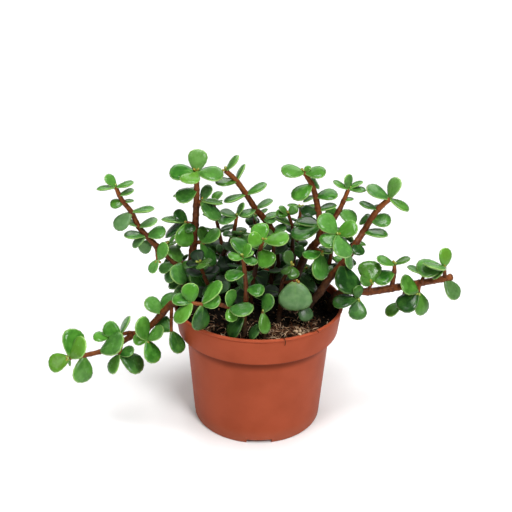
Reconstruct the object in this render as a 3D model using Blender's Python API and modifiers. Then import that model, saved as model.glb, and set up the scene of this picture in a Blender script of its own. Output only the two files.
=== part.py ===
"""A potted elephant bush: leafy succulent stems rooted in soil in a flared plastic nursery pot.

The pot's axis is the Z axis and the pot stands on z = 0. +X is the viewer's right, -Y is towards the viewer.
"""

import math
import random
from collections import namedtuple

import bmesh
import bpy
from mathutils import Matrix, Vector
from mathutils.bvhtree import BVHTree

MM = 0.001
GAP = 0.3 * MM
WELD = 0.0002 * MM

# The pot is a standard 12 cm nursery pot.
POT_HEIGHT = 90 * MM
RIM_RADIUS = 60 * MM
BAND_HEIGHT = 20 * MM
BAND_FOOT_RADIUS = 57 * MM
SHOULDER_RADIUS = 51.5 * MM
FOOT_RADIUS = 46.2 * MM
FOOT_ROUNDING = 1.2 * MM
WALL = 1.4 * MM
LIP_HEIGHT = 1.6 * MM
LIP_STANDS_OUT = 0.7 * MM
FLOOR_UNDERSIDE = 3.6 * MM
POT_STEPS = 36
NOTCH_WIDTH = 17.5 * MM
NOTCH_HEIGHT = 3 * MM
NOTCH_DEPTH = 12 * MM
NOTCH_COUNT = 4
NOTCH_TURN = math.radians(2.7)
DRAIN_RADIUS = 4 * MM
DRAIN_SIDES = 12
DRAIN_CIRCLE = 27 * MM
DRAIN_COUNT = 6

# The soil fills the pot to just below the lip and rises a little towards the middle.
SOIL_EDGE = 84 * MM
SOIL_RISE = 2 * MM
SOIL_LUMPS = 0.4 * MM
SOIL_STEPS = 28
SOIL_RINGS = (0, 0.2, 0.4, 0.6, 0.8, 1)
BAND_FLARE_TO_SOIL = 1.2 * MM
ROOT_DEPTH = 13 * MM
HOLE_SIDES = 8

# Leaves: shares of the leaf's own length, apart from the millimetres.
LEAF_SIDES = 7
LEAF_BREADTH = 0.86
LEAF_THICK = 0.16
LEAF_THICK_LEAST = 1.8 * MM
LEAF_TAPER = 0.55
LEAF_WIDEST = 1.2
LEAF_BELLY = 0.55
LEAF_ARCH = 0.08
LEAF_SINK = 1 * MM
LEAF_CLEARANCE = 0.4 * MM
LEAF_NEAR = 25 * MM
BENDS = (0, 8, -8, 16, -16, 26, -26)
SIZES = (1.0, 0.88, 0.76)
BEND_FOR_SIZE = 120
BUD = 1.2 * MM
OWN_LEAF_START = 0.32

# The directions of leaves are read from the front, where the eye looks down at the plant by this angle.
EYE_DIP = math.radians(23.4)
RIGHT = Vector((1, 0, 0))
UPWARD = Vector((0, math.sin(EYE_DIP), math.cos(EYE_DIP)))
TOWARDS = Vector((0, -math.cos(EYE_DIP), math.sin(EYE_DIP)))
LEVEL = 0.15

# A shoot runs through its joints. A joint has its place in millimetres (right, back, up) and the leaves that
# grow there. A leaf is its length in millimetres and three angles in degrees: clock, its direction in the
# picture (0 right, 90 up), lean, how far its tip points at the viewer, and tip, how far its face turns from
# the viewer to the sky. A fifth number, where there is one, is breadth over length.
Joint = namedtuple("Joint", "place leaves")
Shoot = namedtuple("Shoot", "foot_radius tip_radius joints")
Leaf = namedtuple("Leaf", "length breadth place")


def joint(place, *leaves):
    return Joint(Vector(place) * MM, leaves)


def shoot(foot_mm, tip_mm, *joints):
    return Shoot(foot_mm * MM, tip_mm * MM, joints)


# The first shoot of each stem is rooted in the soil at its first joint. The others start on one before them.
STEMS = {
    "stem_left_trailer": [
        shoot(
            2.7, 1.5,
            joint((-43, -18, 88.5)),
            joint((-50, -20, 97)),
            joint((-59, -22, 96)),
            joint((-65.5, -22, 89), (15.5, 137, 10, 45), (19, 64, -10, 35)),
            joint((-75.5, -24, 78.5)),
            joint((-88.5, -22, 70)),
            joint((-100.5, -22, 61.5)),
            joint((-109.5, -26, 60), (22.5, 32, 15, 45)),
            joint((-120.5, -29, 58.5), (20, 271, 0, 45)),
            joint(
                (-129, -32, 58.5),
                (16.5, 201, 5, 20), (21, 81, -10, 35), (20, 47, 20, 40), (10, 230, -50, 30),
            ),
        ),
        shoot(
            1.3, 1.0,
            joint((-59, -22, 96)),
            joint((-59, -26, 88)),
            joint((-59, -28, 78.5), (17, 298, 5, 50), (15, 147, -10, 10)),
        ),
        shoot(
            1.2, 1.0,
            joint((-75.5, -24, 78.5)),
            joint(
                (-75.5, -31, 73),
                (18.5, 103, 15, 55), (10, 176, 20, 25), (15.5, 37, 20, 50), (17.5, 295, 10, 50),
            ),
        ),
        shoot(
            1.5, 1.2,
            joint((-83.5, -23, 73.5)),
            joint((-89.5, -20, 72)),
            joint((-95.5, -19, 70), (14, 153, 0, 5), (15, 73, -15, 65)),
            joint((-103.5, -19, 67.5), (12, 173, 15, 50)),
        ),
        shoot(
            1.5, 1.2,
            joint((-94.5, -22, 66)),
            joint((-96, -26, 58.5), (15.5, 242, 5, 45), (20.5, 329, -5, 50), (11.5, 20, 10, 45)),
        ),
    ],
    "stem_left_upper": [
        shoot(
            2.4, 1.4,
            joint((-49, -5, 88.5)),
            joint((-53, -3, 104), (16, 250, -30, 20)),
            joint((-59, 0, 117), (12.5, 208, 10, 45), (15.5, 280, 14, 45)),
            joint((-71, 0, 129.5)),
            joint((-77.5, 0, 137), (14.5, 17, 10, 40), (16, 176, 15, 65), (13, 215, 0, 55)),
            joint((-82.5, 0, 143.5), (14.5, 24, 10, 60), (11.5, 150, 10, 70)),
            joint((-87, 0, 154), (16.5, 226, 10, 35), (16.5, 14, 0, 70)),
            joint((-92, 0, 161), (9.5, 190, 10, 30), (8, 25, -35, 60)),
            joint((-94.5, 0, 166), (11, 22, 10, 60)),
            joint((-96.5, 0, 171.5), (11, 125, 20, 50), (13.5, 182, 5, 70), (13, 20, 5, 65)),
        ),
        shoot(
            1.4, 1.1,
            joint((-71, 0, 129.5)),
            joint((-69.5, -7, 122.5), (14, 60, 15, 40), (11, 242, 10, 40)),
        ),
        shoot(
            1.4, 1.1,
            joint((-72.5, 0, 131)),
            joint((-75, 3, 132), (11, 226, 0, 0)),
        ),
    ],
    "stem_left_upright": [
        shoot(
            3.4, 1.7,
            joint((-43, 14, 88.5)),
            joint((-46, 10, 100), (22, 186, -20, 55), (16, 300, -30, 10)),
            joint((-47, 5, 116), (24, 296, 8, 50)),
            joint((-45.5, 3, 131)),
            joint((-44, 2, 145)),
            joint((-43, 0, 159)),
            joint((-42.5, 0, 171), (16, 207, 15, 35), (22, 184, -20, 70)),
            joint(
                (-42.5, -2, 183.5),
                (16, 84, 10, 0), (18.5, 179, 5, 40), (17, 236, 40, 25), (19, 357, 5, 45),
            ),
        ),
        shoot(
            1.6, 1.2,
            joint((-47, 5, 116)),
            joint((-54, 0, 117), (15, 122, 0, 50), (18, 256, 14, 40), (9.5, 328, 25, 5)),
        ),
        shoot(
            1.8, 1.2,
            joint((-45.5, 3, 131)),
            joint((-40, 0, 133), (20, 301, 15, 50, 0.66), (11.5, 81, 0, 45), (16.5, 39, 5, 50)),
        ),
        shoot(
            1.8, 1.2,
            joint((-44, 2, 145)),
            joint(
                (-49.5, 0, 147),
                (12, 132, 10, 40), (9, 302, 30, 20), (17.5, 264, 0, 35), (19.5, 206, -10, 65),
                (19.5, 165, -20, 70),
            ),
        ),
        shoot(
            2.2, 1.3,
            joint((-43, 0, 159)),
            joint((-39.5, -1, 163), (13, 65, 5, 45), (18.5, 316, 15, 55), (15.5, 2, -15, 70)),
        ),
    ],
    "stem_thin_left": [
        shoot(
            1.8, 1.2,
            joint((-34, 28, 88.5)),
            joint((-31, 26, 101), (16, 150, -40, 20), (15, 20, -30, 20)),
            joint((-26, 20, 115.5), (8.5, 119, 15, 50), (14, 280, 10, 10)),
            joint((-21.5, 14, 126), (12, 330, -40, 20)),
            joint((-19, 11, 134), (7.5, 161, -10, 40), (14, 345, -25, 10)),
            joint((-17, 9, 142)),
            joint((-16, 8, 149), (11.5, 67, 10, 65), (12.5, 156, 0, 60), (14, 195, 15, 55)),
        ),
    ],
    "stem_leaning_centre": [
        shoot(
            2.8, 1.7,
            joint((8, 28, 88.5)),
            joint((11, 24, 98), (16, 20, -30, 20), (16, 200, -20, 20)),
            joint((13, 22, 109), (15, 100, -60, 10)),
            joint((11, 20, 123), (14, 0, -40, 30), (14, 180, 10, 20)),
            joint((9, 18, 135), (13, 175, -20, 20), (11, 20, 10, 50)),
            joint((2.5, 15, 146), (10, 20, 10, 60), (10, 350, 30, 50)),
            joint((-3, 12, 153.5), (14, 34, 0, 65), (13, 205, 25, 60)),
            joint((-9.5, 10, 164.5), (16.5, 32, 10, 65), (17, 196, 10, 70)),
            joint((-16, 8, 174.5), (14, 74, -15, 70), (15.5, 184, 20, 60)),
            joint((-23, 5, 182.5), (14, 56, 10, 65)),
        ),
    ],
    "stem_front": [
        shoot(
            1.8, 1.3,
            joint((-9, -45, 88.5)),
            joint((-9, -46, 101), (19, 230, -12, 50)),
            joint((-8, -46, 113.5), (13, 170, -50, 10)),
            joint((-8, -46, 120.5), (12.5, 354, 15, 40)),
            joint((-9, -46, 131.5), (13.5, 191, 10, 50), (10, 165, -45, 20)),
            joint(
                (-10, -45, 141.5),
                (10, 68, 10, 50), (10.5, 171, 20, 55), (10.5, 340, 25, 55), (8, 34, 15, 65),
                (17, 103, -30, 35),
            ),
        ),
        shoot(
            1.5, 1.2,
            joint((-9, -46, 103.5)),
            joint((-13.5, -48, 106)),
            joint((-18.5, -49, 108), (13, 82, 20, 50), (17.5, 5, 15, 55), (10, 287, 20, 20)),
            joint((-27, -50, 111)),
            joint((-36, -51, 111), (13.5, 19, 20, 35), (20, 47, -5, 60), (18, 267, -5, 45)),
            joint((-42.5, -52, 112.5), (13.5, 97, 15, 5), (13.5, 162, -5, 45), (17, 232, 20, 50)),
        ),
    ],
    "shoot_front_small": [
        shoot(
            1.4, 1.0,
            joint((4, -50, 88.5)),
            joint((2.5, -50, 97.5), (13.5, 227, 5, 60)),
            joint((3, -50, 105.5), (13.5, 68, 15, 45), (14.5, 280, 10, 30, 0.62)),
        ),
    ],
    "stem_front_rosette": [
        shoot(
            1.8, 1.2,
            joint((-6, -16, 88.5)),
            joint((-5, -19, 103), (15, 185, -20, 20), (15, 10, -30, 20)),
            joint((-3, -22, 119), (14, 200, -10, 20), (13, 340, -30, 20)),
            joint((0.5, -26, 139), (13.5, 304, 15, 0, 0.96), (12, 100, -60, 0)),
            joint((2.5, -30, 147), (11.5, 174, 20, 0, 0.92), (12.5, 108, -5, 0, 1.02), (18, 9, 20, 50)),
        ),
    ],
    "stem_small_centre": [
        shoot(
            1.7, 1.1,
            joint((27, 24, 88.5)),
            joint((26, 25, 102), (15, 30, -40, 20), (14, 180, -30, 20)),
            joint((24, 25, 118), (13, 90, -60, 20), (13, 345, -30, 20)),
            joint((24, 25, 129), (12, 200, 0, 40)),
            joint((23, 22, 137.5), (19, 172, 0, 70), (11, 20, -10, 60)),
            joint((20, 20, 147), (9, 138, 10, 55), (9.5, 160, 25, 40), (8.5, 42, 10, 20)),
        ),
    ],
    "stem_forked_right": [
        shoot(
            2.9, 2.5,
            joint((15, -6, 88.5)),
            joint((19, -8, 97), (15, 20, -40, 20)),
            joint((26, -8, 113), (21.5, 331, -20, 60), (14, 160, -30, 20)),
            joint((30, -8, 124)),
            joint((36, -8, 134)),
            joint((40, -8, 139)),
        ),
        shoot(
            2.5, 1.6,
            joint((40, -8, 139)),
            joint((41, -6, 148), (22, 196, 10, 55), (18.5, 164, -25, 55)),
            joint((39, -4, 158.5), (12.5, 178, 10, 40), (14, 27, -10, 65)),
            joint((37, -2, 168), (15.5, 11, 5, 50), (10, 194, -25, 65)),
            joint((34, 0, 176), (17, 219, 15, 45), (12, 30, -60, 0)),
            joint((29, 0, 184), (16.5, 175, 15, 45), (15, 3, 15, 45), (6, 60, 20, 45)),
        ),
        shoot(
            2.1, 1.4,
            joint((40, -8, 139)),
            joint((47, 0, 146), (12, 170, -50, 20)),
            joint((53.5, 5, 155), (15, 340, -5, 35), (12, 190, -20, 20)),
            joint((57, 8, 162), (7.5, 20, -20, 65)),
            joint(
                (60, 10, 169.5),
                (12.5, 151, 10, 65), (11, 92, 25, 45), (12, 37, -10, 70), (12.5, 0, 15, 65),
            ),
        ),
        shoot(
            1.8, 1.2,
            joint((40, -8, 139)),
            joint((45, -16, 144.5)),
            joint(
                (50.5, -24, 150),
                (14, 213, 25, 25), (15, 27, 20, 30), (17.5, 132, 5, 30), (18.5, 290, 20, 35),
            ),
        ),
        shoot(
            1.7, 1.2,
            joint((36, -8, 134)),
            joint((41, -16, 134), (20, 270, 15, 30, 0.7), (14, 195, 30, 55), (8.5, 9, 0, 60)),
        ),
    ],
    "stem_right_upper": [
        shoot(
            2.7, 1.9,
            joint((33, -14, 88.5)),
            joint((42, -14, 103)),
            joint((49, -12, 114), (15, 100, -50, 20)),
            joint((56.5, -10, 122.5), (24, 279, 14, 30), (14, 80, -60, 10)),
            joint((62, -7, 129.5), (13, 245, 30, 50)),
            joint((66, -5, 136.5), (11, 279, 30, 15)),
            joint((70.5, 0, 142), (18, 1, 5, 65), (4, 51, 25, 5)),
            joint((75, 0, 151), (14.5, 3, 15, 35), (12, 170, -60, 20)),
            joint((79.5, 0, 159), (14, 158, 5, 65), (9, 60, -40, 30)),
            joint((86.5, 0, 166.5), (16, 75, 15, 55), (18, 150, 5, 50), (16, 333, 10, 60)),
        ),
    ],
    "stem_right_trailer": [
        shoot(
            2.9, 2.2,
            joint((50, -5, 88.5)),
            joint((56, -12, 101)),
            joint((63, -18, 107)),
            joint((74, -19, 106.5)),
            joint((91, -14, 107)),
            joint((111.5, -6, 107.5)),
            joint((130.5, 2, 107.5), (17.5, 305, 10, 35)),
            joint((135.5, 4, 108)),
        ),
        shoot(
            1.8, 1.2,
            joint((91, -14, 107)),
            joint((91.5, -15, 119.5), (16, 202, 12, 40)),
            joint((91, -16, 125.5), (13.5, 158, 10, 55), (12, 30, 5, 70)),
        ),
        shoot(
            1.4, 1.1,
            joint((74, -19, 106.5)),
            joint((75.5, -21, 113), (17, 94, -8, 0, 1), (10, 150, 10, 40)),
        ),
        shoot(
            1.4, 1.1,
            joint((111.5, -6, 107.5)),
            joint((110, -12, 103.5), (18, 147, 20, 35), (19, 205, -5, 35), (17.5, 288, 10, 35)),
        ),
        shoot(
            1.5, 1.2,
            joint((130.5, 2, 107.5)),
            joint(
                (128, -4, 118.5),
                (20.5, 180, -3, 40), (20.5, 178, 28, 80), (14.5, 89, 10, 30), (12, 195, 10, 80),
            ),
        ),
        shoot(
            1.5, 1.2,
            joint((63, -18, 107)),
            joint((66.5, -27, 105), (15, 269, 15, 0), (10, 80, 22, 30), (18, 189, 0, 55)),
        ),
        shoot(
            1.4, 1.1,
            joint((101, -11, 107.5)),
            joint((101.5, -4, 91.5), (15.5, 215, 0, 60)),
        ),
        shoot(
            1.4, 1.0,
            joint((112, -8, 108.5)),
            joint((114, -6, 114), (13.5, 140, -15, 65)),
        ),
    ],
    "stem_grey_front": [
        shoot(
            1.8, 1.2,
            joint((14, -27, 88.5)),
            joint((15, -26, 97)),
            joint((15, -26, 107), (14.5, 167, -20, 40)),
            joint((16, -25, 116), (12, 30, -50, 20)),
            joint((21, -25, 127), (11.5, 105, 15, 35), (9.5, 290, 25, 15), (9, 221, 20, 50)),
        ),
        shoot(
            1.4, 1.2,
            joint((16, -25, 115)),
            joint((24, -31, 119), (21, 272, -5, 0, 1.03)),
        ),
        shoot(
            1.3, 1.1,
            joint((15, -26, 98)),
            joint((29, -30, 101.5), (12.5, 294, 10, 20)),
        ),
    ],
}

# Stems whose leaves aren't seen one by one are grown by a rule: each has its foot in the soil, its tip, both
# in millimetres, how many joints it has above the soil, and how many side shoots it bears.
Growth = namedtuple("Growth", "foot tip joints side_shoots")
GROWN = {
    "stem_middle_left": Growth((-26, -6, 88.5), (-40, -16, 124), 4, 0),
    "stem_middle": Growth((-16, 8, 88.5), (-14, 6, 136), 4, 1),
    "stem_middle_right": Growth((8, 4, 88.5), (10, 0, 136), 4, 1),
    "stem_inner_right": Growth((46, 8, 88.5), (52, 10, 138), 4, 1),
    "stem_back_left_low": Growth((-44, 24, 88.5), (-66, 30, 118), 4, 1),
    "stem_back_left": Growth((-20, 36, 88.5), (-34, 46, 146), 5, 1),
    "stem_back_middle": Growth((0, 42, 88.5), (-4, 48, 134), 5, 1),
    "stem_back_right": Growth((24, 40, 88.5), (30, 46, 142), 5, 1),
    "stem_back_right_low": Growth((44, 26, 88.5), (68, 34, 120), 4, 1),
}
GROWTH_SEED = 7
GROWTH_TIP_MM = 1.1
GROWTH_TAPER = 0.013
GROWTH_BOW = 0.12
GROWTH_TURN_UP = 0.3
LEAF_LOW_MM = 17
LEAF_HIGH_MM = 12
ROSETTE_SHARE = 0.75
LEAF_RISE = math.radians(24)
UNEVEN_TURN = math.radians(17)
UNEVEN_RISE = math.radians(17)
UNEVEN_SIZE = 0.1
SIDE_SHOOT_MM = 15
SIDE_SHOOT_FOOT_MM = 1.5
SIDE_SHOOT_JOINTS = 2


def angles_of(along, face):
    """The clock, lean and tip angles of a leaf that points along one direction and faces another."""
    clock = math.degrees(math.atan2(along.dot(UPWARD), along.dot(RIGHT)))
    lean = math.degrees(math.asin(max(-1.0, min(1.0, along.dot(TOWARDS)))))
    to_eye = leaf_axes(clock, lean, 0).col[2]
    to_sky = leaf_axes(clock, lean, 90).col[2]
    tip = math.degrees(math.atan2(face.dot(to_sky), face.dot(to_eye)))
    return round(clock), round(lean), round(tip)


def opposite_leaves(upward, turn, length, draw):
    """Two leaves that stand opposite each other at a joint, their faces towards the shoot's tip."""
    leaves = []
    for side in (0, math.pi):
        around = Matrix.Rotation(turn + side + draw.uniform(-UNEVEN_TURN, UNEVEN_TURN), 3, upward)
        outward = around @ upward.orthogonal().normalized()
        rise = LEAF_RISE + draw.uniform(-UNEVEN_RISE, UNEVEN_RISE)
        along = math.cos(rise) * outward + math.sin(rise) * upward
        face = math.cos(rise) * upward - math.sin(rise) * outward
        size = round(length * draw.uniform(1 - UNEVEN_SIZE, 1 + UNEVEN_SIZE), 1)
        leaves.append((size, *angles_of(along, face)))
    return leaves


def grown_shoot(foot, tip, joints, turn, foot_mm, draw):
    """A shoot with a pair of leaves at each joint, a quarter turn from the pair below, and four at its tip.

    It leaves its foot outwards and then turns up.
    """
    start, end = Vector(foot), Vector(tip)
    outwards = Vector((end.x - start.x, end.y - start.y, 0))
    buds = [joint(foot)]
    for number in range(1, joints + 1):
        share = number / joints
        place = start.lerp(end, share) + GROWTH_BOW * math.sin(math.pi * share) * outwards
        upward = (end - start).normalized().lerp(Vector((0, 0, 1)), GROWTH_TURN_UP * share).normalized()
        length = LEAF_LOW_MM + share * (LEAF_HIGH_MM - LEAF_LOW_MM)
        quarter = turn + number * math.pi / 2
        leaves = opposite_leaves(upward, quarter, length, draw)
        if number == joints:
            leaves += opposite_leaves(upward, quarter + math.pi / 2, ROSETTE_SHARE * length, draw)
        buds.append(joint(place, *leaves))
    return shoot(foot_mm, GROWTH_TIP_MM, *buds)


def grown_stem(growth, draw):
    """A stem and its side shoots, which start from its lower joints."""
    turn = draw.uniform(0, math.pi)
    foot_mm = GROWTH_TIP_MM + GROWTH_TAPER * (growth.tip[2] - growth.foot[2])
    shoots = [grown_shoot(growth.foot, growth.tip, growth.joints, turn, foot_mm, draw)]
    for number in range(growth.side_shoots):
        start = shoots[0].joints[1 + 2 * number].place / MM
        away = turn + math.pi * (number + draw.uniform(0.2, 0.5))
        side = Vector((math.cos(away), math.sin(away), draw.uniform(0.3, 0.7))).normalized()
        end = start + SIDE_SHOOT_MM * side
        shoots.append(grown_shoot(start, end, SIDE_SHOOT_JOINTS, away, SIDE_SHOOT_FOOT_MM, draw))
    return shoots


def all_stems():
    """Every stem by name: those drawn leaf by leaf, then those grown by the rule."""
    stems = dict(STEMS)
    for number, (name, growth) in enumerate(GROWN.items()):
        stems[name] = grown_stem(growth, random.Random(GROWTH_SEED + number))
    return stems


def outline_share(x):
    """The blade's breadth at a share x of its length, as a share of the widest."""
    across = math.sqrt(max(0.0, 1 - (2 * x - 1) ** 2))
    return LEAF_WIDEST * across * max(x, 0.0) ** LEAF_TAPER


def leaf_axes(clock, lean, tip):
    """The blade's length, breadth and face directions as the columns of a matrix."""
    clock, lean, tip = math.radians(clock), math.radians(lean), math.radians(tip)
    across = math.cos(clock) * RIGHT + math.sin(clock) * UPWARD
    along = math.cos(lean) * across + math.sin(lean) * TOWARDS
    to_eye = (TOWARDS - along * along.dot(TOWARDS)).normalized()
    to_sky = along.cross(to_eye)
    if (to_sky.z if abs(to_sky.z) > LEVEL else to_sky.x) < 0:
        to_sky.negate()
    face = math.cos(tip) * to_eye + math.sin(tip) * to_sky
    return Matrix((along, face.cross(along), face)).transposed()


def blade_shape(leaf, start=0.0, extra=0.0):
    """A bmesh of one blade, its root at the origin, its tip along +X and its face to +Z.

    A blade that only guards a place begins at a later share of its length and is extra metres too large.
    """
    breadth = leaf.breadth * leaf.length
    thick = max(LEAF_THICK * leaf.length, LEAF_THICK_LEAST) + 2 * extra
    blade = bmesh.new()
    bmesh.ops.create_uvsphere(blade, u_segments=LEAF_SIDES, v_segments=2, radius=1)
    for v in blade.verts:
        on_edge = abs(v.co.z) < 0.5
        angle = math.atan2(v.co.y, v.co.x) + math.pi
        x = max(start, 0.5 + 0.5 * math.cos(angle)) if on_edge else LEAF_BELLY
        y = math.copysign(0.5 * outline_share(x) * breadth + extra, math.sin(angle)) if on_edge else 0.0
        z = 0.0 if on_edge else math.copysign(0.5 * thick, v.co.z)
        v.co = (x * leaf.length, y, z - LEAF_ARCH * leaf.length * x * x)
        if x > LEAF_BELLY:
            v.co.x += extra
    bmesh.ops.transform(blade, matrix=leaf.place, verts=blade.verts)
    return blade


def guard_of(leaf, start=0.0, extra=0.0):
    """A search tree of the blade's faces, for finding what it would touch."""
    blade = blade_shape(leaf, start, extra)
    tree = BVHTree.FromBMesh(blade)
    blade.free()
    return tree


def leaf_at(place, length, clock, lean, tip, breadth=LEAF_BREADTH):
    """The leaf that grows at this place in the direction of its angles."""
    axes = leaf_axes(clock, lean, tip)
    root = place - LEAF_SINK * axes.col[0]
    return Leaf(length * MM + LEAF_SINK, breadth, Matrix.Translation(root) @ axes.to_4x4())


def ways_to_lie():
    """Small turns, leans and cuts in size that clear a leaf of its neighbours, the slightest first."""
    ways = [(turn, lean, size) for turn in BENDS for lean in BENDS for size in SIZES]
    return sorted(ways, key=lambda way: abs(way[0]) + abs(way[1]) + BEND_FOR_SIZE * (1 - way[2]))


def touches(leaf, own, stem, placed, solids):
    """Whether the blade would touch its own stem further on, a leaf beside it, or another stem."""
    whole = guard_of(leaf, 0.0, LEAF_CLEARANCE)
    outer = guard_of(leaf, OWN_LEAF_START, LEAF_CLEARANCE)
    if outer.overlap(own):
        return True
    if any(name != stem and whole.overlap(tree) for name, tree in solids):
        return True
    here = middle_of(leaf)
    for name, middle, tree, outer_tree in placed:
        near = (middle - here).length < LEAF_NEAR
        if near and name == stem and outer.overlap(outer_tree):
            return True
        if near and name != stem and whole.overlap(tree):
            return True
    return False


def middle_of(leaf):
    """The middle of the blade."""
    return leaf.place @ Vector((leaf.length / 2, 0, 0))


def lay_leaves(stems, solids):
    """Every stem's leaves, each bent clear of what was placed before it. A leaf with no room is left out."""
    placed = []
    leaves = {}
    ways = ways_to_lie()
    for stem, shoots in stems.items():
        own = dict(solids)[stem]
        leaves[stem] = []
        for bud in (bud for one in shoots for bud in one.joints):
            for length, clock, lean, tip, *breadth in bud.leaves:
                for turn, more_lean, size in ways:
                    leaf = leaf_at(bud.place, length * size, clock + turn, lean + more_lean, tip, *breadth)
                    if not touches(leaf, own, stem, placed, solids):
                        guards = (guard_of(leaf), guard_of(leaf, OWN_LEAF_START))
                        placed.append((stem, middle_of(leaf), *guards))
                        leaves[stem].append(leaf)
                        break
    return leaves


def material(name, colour, roughness):
    """A plain Principled material."""
    finish = bpy.data.materials.new(name)
    finish.use_nodes = True
    shader = finish.node_tree.nodes["Principled BSDF"]
    shader.inputs["Base Color"].default_value = (*colour, 1)
    shader.inputs["Roughness"].default_value = roughness
    shader.inputs["Metallic"].default_value = 0
    finish.diffuse_color = (*colour, 1)
    return finish


def add_object(name, data, collection, finish=None):
    """A new object of this mesh or curve in the collection."""
    made = bpy.data.objects.new(name, data)
    collection.objects.link(made)
    if finish:
        data.materials.append(finish)
    return made


def add_cutter(name, data, cutters):
    """A cutter, which is hidden from renders."""
    cutter = add_object(name, data, cutters)
    cutter.hide_render = True
    cutter.display_type = "WIRE"
    return cutter


def mesh_from(name, shape):
    """A mesh of a bmesh, which is freed."""
    mesh = bpy.data.meshes.new(name)
    shape.to_mesh(mesh)
    shape.free()
    return mesh


def evaluated(made):
    """A mesh of the object as its modifiers leave it, its loose seams closed."""
    bpy.context.view_layer.update()
    ready = made.evaluated_get(bpy.context.evaluated_depsgraph_get())
    mesh = bpy.data.meshes.new_from_object(ready)
    shape = bmesh.new()
    shape.from_mesh(mesh)
    bmesh.ops.remove_doubles(shape, verts=shape.verts, dist=WELD)
    shape.to_mesh(mesh)
    shape.free()
    return mesh


def turned(name, profile, steps, collection, finish):
    """A solid of revolution about Z. Its profile starts and ends on the axis and runs down its outer side."""
    shape = bmesh.new()
    line = [shape.verts.new((radius, 0, height)) for radius, height in profile]
    for low, high in zip(line, line[1:]):
        shape.edges.new((low, high))
    made = add_object(name, mesh_from(name, shape), collection, finish)
    screw = made.modifiers.new("spin", "SCREW")
    screw.steps = steps
    screw.render_steps = steps
    screw.use_merge_vertices = True
    screw.merge_threshold = WELD
    return made


def cut(made, cutters):
    """Take the cutters out of a part."""
    for cutter in cutters:
        boolean = made.modifiers.new("cut", "BOOLEAN")
        boolean.operation = "DIFFERENCE"
        boolean.object = cutter


def ground(x, y):
    """The height of the soil's surface, with low lumps some 20 to 40 mm apart."""
    share = min(1.0, math.hypot(x, y) / RIM_RADIUS)
    broad = math.sin(x / (5 * MM)) * math.cos(y / (6.5 * MM))
    narrow = math.sin((x + 1.7 * y) / (3.7 * MM))
    return SOIL_EDGE + SOIL_RISE * (1 - share ** 2) + SOIL_LUMPS * (broad + 0.6 * narrow)


def wall_radius(height):
    """The radius of the pot's outer wall below the band."""
    share = height / (POT_HEIGHT - BAND_HEIGHT)
    return FOOT_RADIUS + (SHOULDER_RADIUS - FOOT_RADIUS) * share


def inside_radius(outer_radius):
    """The radius that clears the inner flats of the pot's wall."""
    return (outer_radius - WALL) * math.cos(math.pi / POT_STEPS) - GAP


def pot(collection, cutters):
    """The pot: a thin flared wall with a wider band under its lip, a raised floor and a notched foot."""
    band_foot = POT_HEIGHT - BAND_HEIGHT
    lip_foot = POT_HEIGHT - LIP_HEIGHT
    band_top_radius = RIM_RADIUS - LIP_STANDS_OUT
    floor_top = FLOOR_UNDERSIDE + WALL
    profile = [
        (0, floor_top),
        (wall_radius(floor_top) - WALL, floor_top),
        (wall_radius(band_foot) - WALL, band_foot + WALL),
        (BAND_FOOT_RADIUS - WALL, band_foot + WALL),
        (band_top_radius - WALL, POT_HEIGHT),
        (RIM_RADIUS, POT_HEIGHT),
        (RIM_RADIUS, lip_foot),
        (band_top_radius, lip_foot),
        (BAND_FOOT_RADIUS, band_foot),
        (wall_radius(band_foot), band_foot),
        (wall_radius(FOOT_ROUNDING), FOOT_ROUNDING),
        (FOOT_RADIUS - 0.5 * FOOT_ROUNDING, 0),
        (FOOT_RADIUS - FOOT_ROUNDING - WALL, 0),
        (wall_radius(FLOOR_UNDERSIDE) - 2 * WALL, FLOOR_UNDERSIDE),
        (0, FLOOR_UNDERSIDE),
    ]
    plastic = material("terracotta_plastic", (0.38, 0.085, 0.045), 0.5)
    made = turned("pot", profile, POT_STEPS, collection, plastic)
    cut(made, foot_notches(cutters) + drain_holes(cutters))
    return made


def foot_notches(cutters):
    """Boxes that cut the foot's notches, the first one at the front."""
    made = []
    for number in range(NOTCH_COUNT):
        shape = bmesh.new()
        bmesh.ops.create_cube(shape, size=1)
        size = Matrix.Diagonal((NOTCH_DEPTH, NOTCH_WIDTH, 2 * NOTCH_HEIGHT, 1))
        box = Matrix.Translation((FOOT_RADIUS, 0, 0)) @ size
        turn = NOTCH_TURN + math.tau * (number / NOTCH_COUNT - 0.25)
        bmesh.ops.transform(shape, matrix=Matrix.Rotation(turn, 4, "Z") @ box, verts=shape.verts)
        name = f"notch_cutter_{number + 1}"
        made.append(add_cutter(name, mesh_from(name, shape), cutters))
    return made


def drain_holes(cutters):
    """Rods that cut the floor's drain holes."""
    made = []
    for number in range(DRAIN_COUNT):
        turn = math.tau * (number + 0.5) / DRAIN_COUNT
        at = (DRAIN_CIRCLE * math.cos(turn), DRAIN_CIRCLE * math.sin(turn), FLOOR_UNDERSIDE)
        made.append(rod(f"drain_cutter_{number + 1}", at, DRAIN_RADIUS, 6 * WALL, DRAIN_SIDES, cutters))
    return made


def rod(name, middle, radius, length, sides, cutters):
    """An upright cylinder that cuts a hole."""
    shape = bmesh.new()
    place = Matrix.Translation(middle)
    bmesh.ops.create_cone(
        shape, cap_ends=True, segments=sides, radius1=radius, radius2=radius, depth=length, matrix=place
    )
    return add_cutter(name, mesh_from(name, shape), cutters)


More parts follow.
